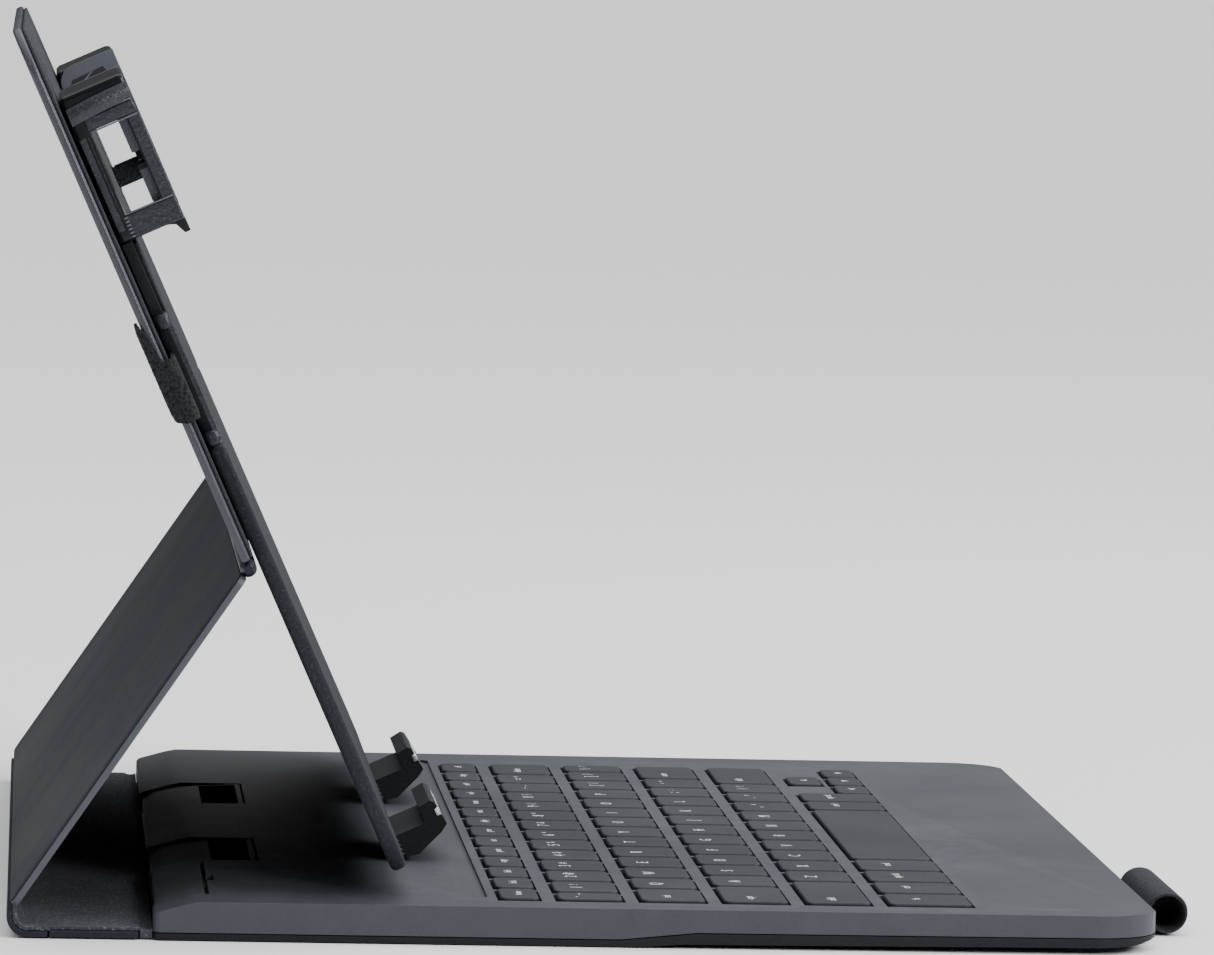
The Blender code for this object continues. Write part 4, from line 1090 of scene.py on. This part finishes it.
def topClip(side):
    look = clipLook
    tag = sideTag(side)
    softened("top_clip_" + tag, "clipShell_" + tag, look["shellEdge"], "clipGloss",
             "clip_" + tag)
    # textured cross bands at the window's foot and head, and the upright between them
    clipPiece("clipBands", look["bands"], side, "clipTextured", look["bandEdge"], 3)
    # bright lines beside the bands in the lighter bar plastic, painted highlights along the band edges
    half = look["highlightHalf"]
    highlightLines = [(flatBox(s - half, s + half, *look["highlightDepth"]), look["highlightX"]) for s in look["highlightLines"]]
    clipPiece("clipHighlightLines", highlightLines, side, "clipBar", look["fineEdge"])
    # textured strip down the rear leg, and a thin raised line beside it that stands in for a highlight line:
    # painted highlight
    clipPiece("clipLeg", look["leg"], side, "clipTextured", look["fineEdge"])
    clipBend(side)
    # inner lip: two flat bars with a gap, seen through the window
    lips = [(flatBox(low, high, *look["lipDepth"]), look["lipX"]) for low, high in look["lip"]]
    clipPiece("clipLip", lips, side, "clipBar", look["lipEdge"], 2)
    # ribbed grip at the rear end of the cross band
    ribStarts = [look["ribFrom"] + i * look["ribPitch"] for i in range(look["ribs"])]
    ribs = [(flatBox(s, s + look["ribWidth"], *look["ribDepth"]), look["ribX"]) for s in ribStarts]
    clipPiece("clipRibs", ribs, side, "clipBar", look["ribEdge"])
    # grey inner end wall with its slot and diagonal brace; the slot is a thin near-black piece, painted shade
    # where the opening is
    wall = list(endLook["wall"])
    for i in range(endLook["steps"] + 1):
        angle = math.radians(90 * i / endLook["steps"])
        (centreS, centreD), (radiusS, radiusD) = endLook["centre"], endLook["radii"]
        wall.append((centreS + radiusS * math.cos(angle), centreD - radiusD * math.sin(angle)))
    clipPiece("clipEnd", [(wall, endLook["x"])], side, "clipBar", endLook["edge"], 2, 60.0)
    clipPiece("clipSlotShade", [(look["slot"], look["slotX"])], side, "paintedShadeBlack")
    clipPiece("clipRib", [(look["brace"], look["braceX"])], side, "clipBar")


for side in (-1, 1):
    topClip(side)


# lower hooks
hookLook = {"edge": 0.35, "middle": 47.5, "glintInsertHalf": 15.7, "glintInsertEdge": 0.15,
            "glintInsert": [(-82.6, 12.7), (-80.9, 12.7), (-80.9, 13.55), (-82.6, 13.8)], "ribs": 4,
            "ribFrom": -87.0, "ribPitch": 1.0, "ribWidth": 0.5, "ribDrop": 0.5, "ribHalf": 15.9,
            "ribFoot": (1.4, 1.2), "ribTop": (3.2, 3.6), "ribFlare": (0.6, 0.2), "ribEdge": 0.1}


def lowerHook(side):
    look = hookLook
    tag = sideTag(side)
    softened("lower_hook_" + tag, "lowerHook_" + tag, look["edge"], "underPlastic", "tray")
    middle = side * look["middle"]
    # painted highlight: the bright steel insert stands in for the glint on the hook's nose
    bm = bmesh.new()  # bright insert on the nose
    pushOutline(bm, look["glintInsert"], middle - look["glintInsertHalf"], middle + look["glintInsertHalf"], sidewise)
    roundEdges(bm, look["glintInsertEdge"], 2)
    finishPiece("hookGlintInsert_" + tag, bm, "tray", ["glintSteel"])
    bm = bmesh.new()  # ribs under the heel
    for i in range(look["ribs"]):
        s = look["ribFrom"] + i * look["ribPitch"]
        drop = look["ribDrop"] * i
        rib = [(s, look["ribFoot"][0] - drop), (s + look["ribWidth"], look["ribFoot"][1] - drop),
               (s + look["ribFlare"][0], look["ribTop"][0]), (s - look["ribFlare"][1], look["ribTop"][1])]
        pushOutline(bm, rib, middle - look["ribHalf"], middle + look["ribHalf"], sidewise)
    roundEdges(bm, look["ribEdge"], 1)
    finishPiece("hookRibs_" + tag, bm, "tray", ["clipTextured"])


for side in (-1, 1):
    lowerHook(side)
print("clips and hooks built")


# stylus loop
loopLook = {"fromFront": 4.3, "centreZ": 4.4, "outer": 4.22, "bore": 3.42, "around": 40, "along": 34,
            "pucker": 0.05, "puckerTurn": 1.3, "hem": 0.18, "tailUnder": 3.5, "tailTop": 5.5,
            "tailInset": 0.3, "tailReach": (3.7, 3.9), "deckDepth": 0.2}


def loopRings(low, high, centreY, radius, pucker, hem):
    look = loopLook
    rings = []
    for i in range(look["along"] + 1):
        x = low + (high - low) * i / look["along"]
        ring = []
        for j in range(look["around"]):
            angle = 2 * math.pi * j / look["around"]
            r = radius + pucker * math.sin(x * look["puckerTurn"] + angle) * math.sin(2 * angle)
            if i in (0, look["along"]):
                r += hem
            place = Vector((x, centreY + r * math.cos(angle), look["centreZ"] + r * math.sin(angle)))
            ring.append(place * mm)
        rings.append(ring)
    return rings


def stylusLoop():
    look = loopLook
    low, high = (Vector(c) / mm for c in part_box("stylus_loop"))
    centreY = low.y + look["fromFront"]
    bm = bmesh.new()
    shells = []
    walls = ((look["outer"], look["pucker"], -look["hem"]), (look["bore"], 0.0, look["hem"]))
    for radius, pucker, hem in walls:
        places = loopRings(low.x, high.x, centreY, radius, pucker, hem)
        rings = [[bm.verts.new(p) for p in ring] for ring in places]
        joinRings(bm, rings)
        shells.append(rings)
    for i in (0, -1):
        for j in range(look["around"]):
            k = (j + 1) % look["around"]
            bm.faces.new((shells[0][i][j], shells[0][i][k], shells[1][i][k], shells[1][i][j]))
    # flat tail sewn to the deck's front edge
    front = (deckBack - look["deckDepth"]) / mm - look["tailInset"]
    lowReach, highReach = (centreY + reach for reach in look["tailReach"])
    under, top = look["tailUnder"], look["tailTop"]
    tail = [(lowReach, under), (front, under), (front, top), (highReach, top)]
    pushOutline(bm, tail, low.x + look["tailInset"], high.x - look["tailInset"],
                lambda a, b, c: Vector((c, a, b)) * mm)
    finishPiece("stylusLoop", bm, "deck", ["loopKnit"], ("stylus_loop",), 50.0)


stylusLoop()
print("stylus loop built")

# parts inside and fasteners keep their CAD shape
keptFinish = {
    "key_support_plate": "brightSteel", "key_membrane": "softRubber", "controller_board": "boardGreen",
    "seat_magnet_left": "magnetPlate", "seat_magnet_right": "magnetPlate",
    "coin_cell_outer": "brightSteel", "coin_cell_inner": "brightSteel",
    "case_screw_1": "brightSteel", "case_screw_2": "brightSteel",
    "case_screw_3": "brightSteel", "case_screw_4": "brightSteel",
    "clip_elastic_left": "softRubber", "clip_elastic_right": "softRubber",
    "keeper_pin_left": "brightSteel", "keeper_pin_right": "brightSteel",
}
for node, finish in keptFinish.items():
    mesh = frame["nodes"][node].data
    if len(mesh.materials) == 0:
        mesh.materials.append(mats[finish])
    for i in range(len(mesh.materials)):
        mesh.materials[i] = mats[finish]
print("inner parts finished:", len(keptFinish))


# camera, floor and light
view = {"position": (-1591.54, 26.62, 206.71), "yaw": -4.4412, "pitch": 4.4484, "roll": 1.4985,
        "lens": 222.55, "sensor": 36.0, "reach": 60.0}


def addCamera():
    yaw, pitch, roll = (math.radians(view[k]) for k in ("yaw", "pitch", "roll"))
    ahead = Vector((math.cos(pitch) * math.cos(yaw), math.cos(pitch) * math.sin(yaw), -math.sin(pitch)))
    right = ahead.cross(Vector((0, 0, 1))).normalized()
    top = right.cross(ahead)
    right, top = (
        math.cos(roll) * right + math.sin(roll) * top,
        math.cos(roll) * top - math.sin(roll) * right,
    )
    data = bpy.data.cameras.new("camera")
    data.lens = view["lens"]
    data.sensor_width = view["sensor"]
    data.sensor_fit = "HORIZONTAL"
    data.clip_end = view["reach"]
    camera = bpy.data.objects.new("camera", data)
    bpy.context.scene.collection.objects.link(camera)
    matrix = Matrix((right, top, -ahead)).transposed().to_4x4()
    matrix.translation = deckPoint(*view["position"])
    camera.matrix_world = matrix
    bpy.context.scene.camera = camera


floorLook = {"half": 20.0, "drop": 0.0002, "colour": (0.93, 0.93, 0.93), "roughness": 0.8,
             "specular": 0.1}


def addFloor():
    bm = bmesh.new()
    half = floorLook["half"]
    corners = [(-half, -half), (half, -half), (half, half), (-half, half)]
    bm.faces.new([bm.verts.new((x, y, -floorLook["drop"])) for x, y in corners])
    mesh = bpy.data.meshes.new("floor")
    bm.to_mesh(mesh)
    bm.free()
    floor = bpy.data.objects.new("floor", mesh)
    bpy.context.scene.collection.objects.link(floor)
    look = floorLook
    paint = startMaterial("floorPaint", look["colour"], look["roughness"], 0.0, look["specular"])
    mesh.materials.append(paint[0])


# softboxes: place, aim, size in metres, watts
middle = (0.0, 0.0, 0.06)
softboxes = {
    "frontSoftbox": ((-0.5, -1.5, 1.2), middle, (1.2, 0.9), 20.0),
    "farSoftbox": ((0.75, -0.35, 0.5), (0.0, -0.03, 0.0), (0.5, 0.3), 0.35),
    "sideSoftbox": ((-1.2, -0.62, 0.55), (-0.1, 0.1, 0.14), (0.24, 0.24), 6.5),
    "topSoftbox": ((0.1, -0.3, 1.7), middle, (1.6, 1.6), 6.0),
}


def addLight(name, place, target, size, power):
    data = bpy.data.lights.new(name, "AREA")
    data.shape = "RECTANGLE"
    data.size, data.size_y = size
    data.energy = power
    light = bpy.data.objects.new(name, data)
    bpy.context.scene.collection.objects.link(light)
    light.location = place
    light.rotation_euler = (Vector(target) - Vector(place)).to_track_quat("-Z", "Y").to_euler()


skyLook = {"colour": (0.97, 0.98, 1.0, 1.0), "risesFrom": 0.25, "brightness": (0.08, 2.4),
           "sides": (1.25, 0.55)}  # brightness at the horizon and overhead; the keys' and cover's sides


def addStudioWorld():
    # a bright ceiling that falls off to a dark horizon, a little brighter on the keys' side
    world = bpy.context.scene.world or bpy.data.worlds.new("studio")
    bpy.context.scene.world = world
    world.use_nodes = True
    tree = world.node_tree
    ray = tree.nodes.new("ShaderNodeSeparateXYZ")
    tree.links.new(tree.nodes.new("ShaderNodeTexCoord").outputs["Generated"], ray.inputs[0])
    height = rangeNode(tree, ray.outputs["Z"], skyLook["risesFrom"], 1.0, *skyLook["brightness"])
    facing = rangeNode(tree, ray.outputs["Y"], -1.0, 1.0, *skyLook["sides"])
    background = tree.nodes["Background"]
    background.inputs["Color"].default_value = skyLook["colour"]
    tree.links.new(mathNode(tree, "MULTIPLY", height, facing), background.inputs["Strength"])


addCamera()
addFloor()
for name, settings in softboxes.items():
    addLight(name, *settings)
addStudioWorld()
print("camera, floor and light set")
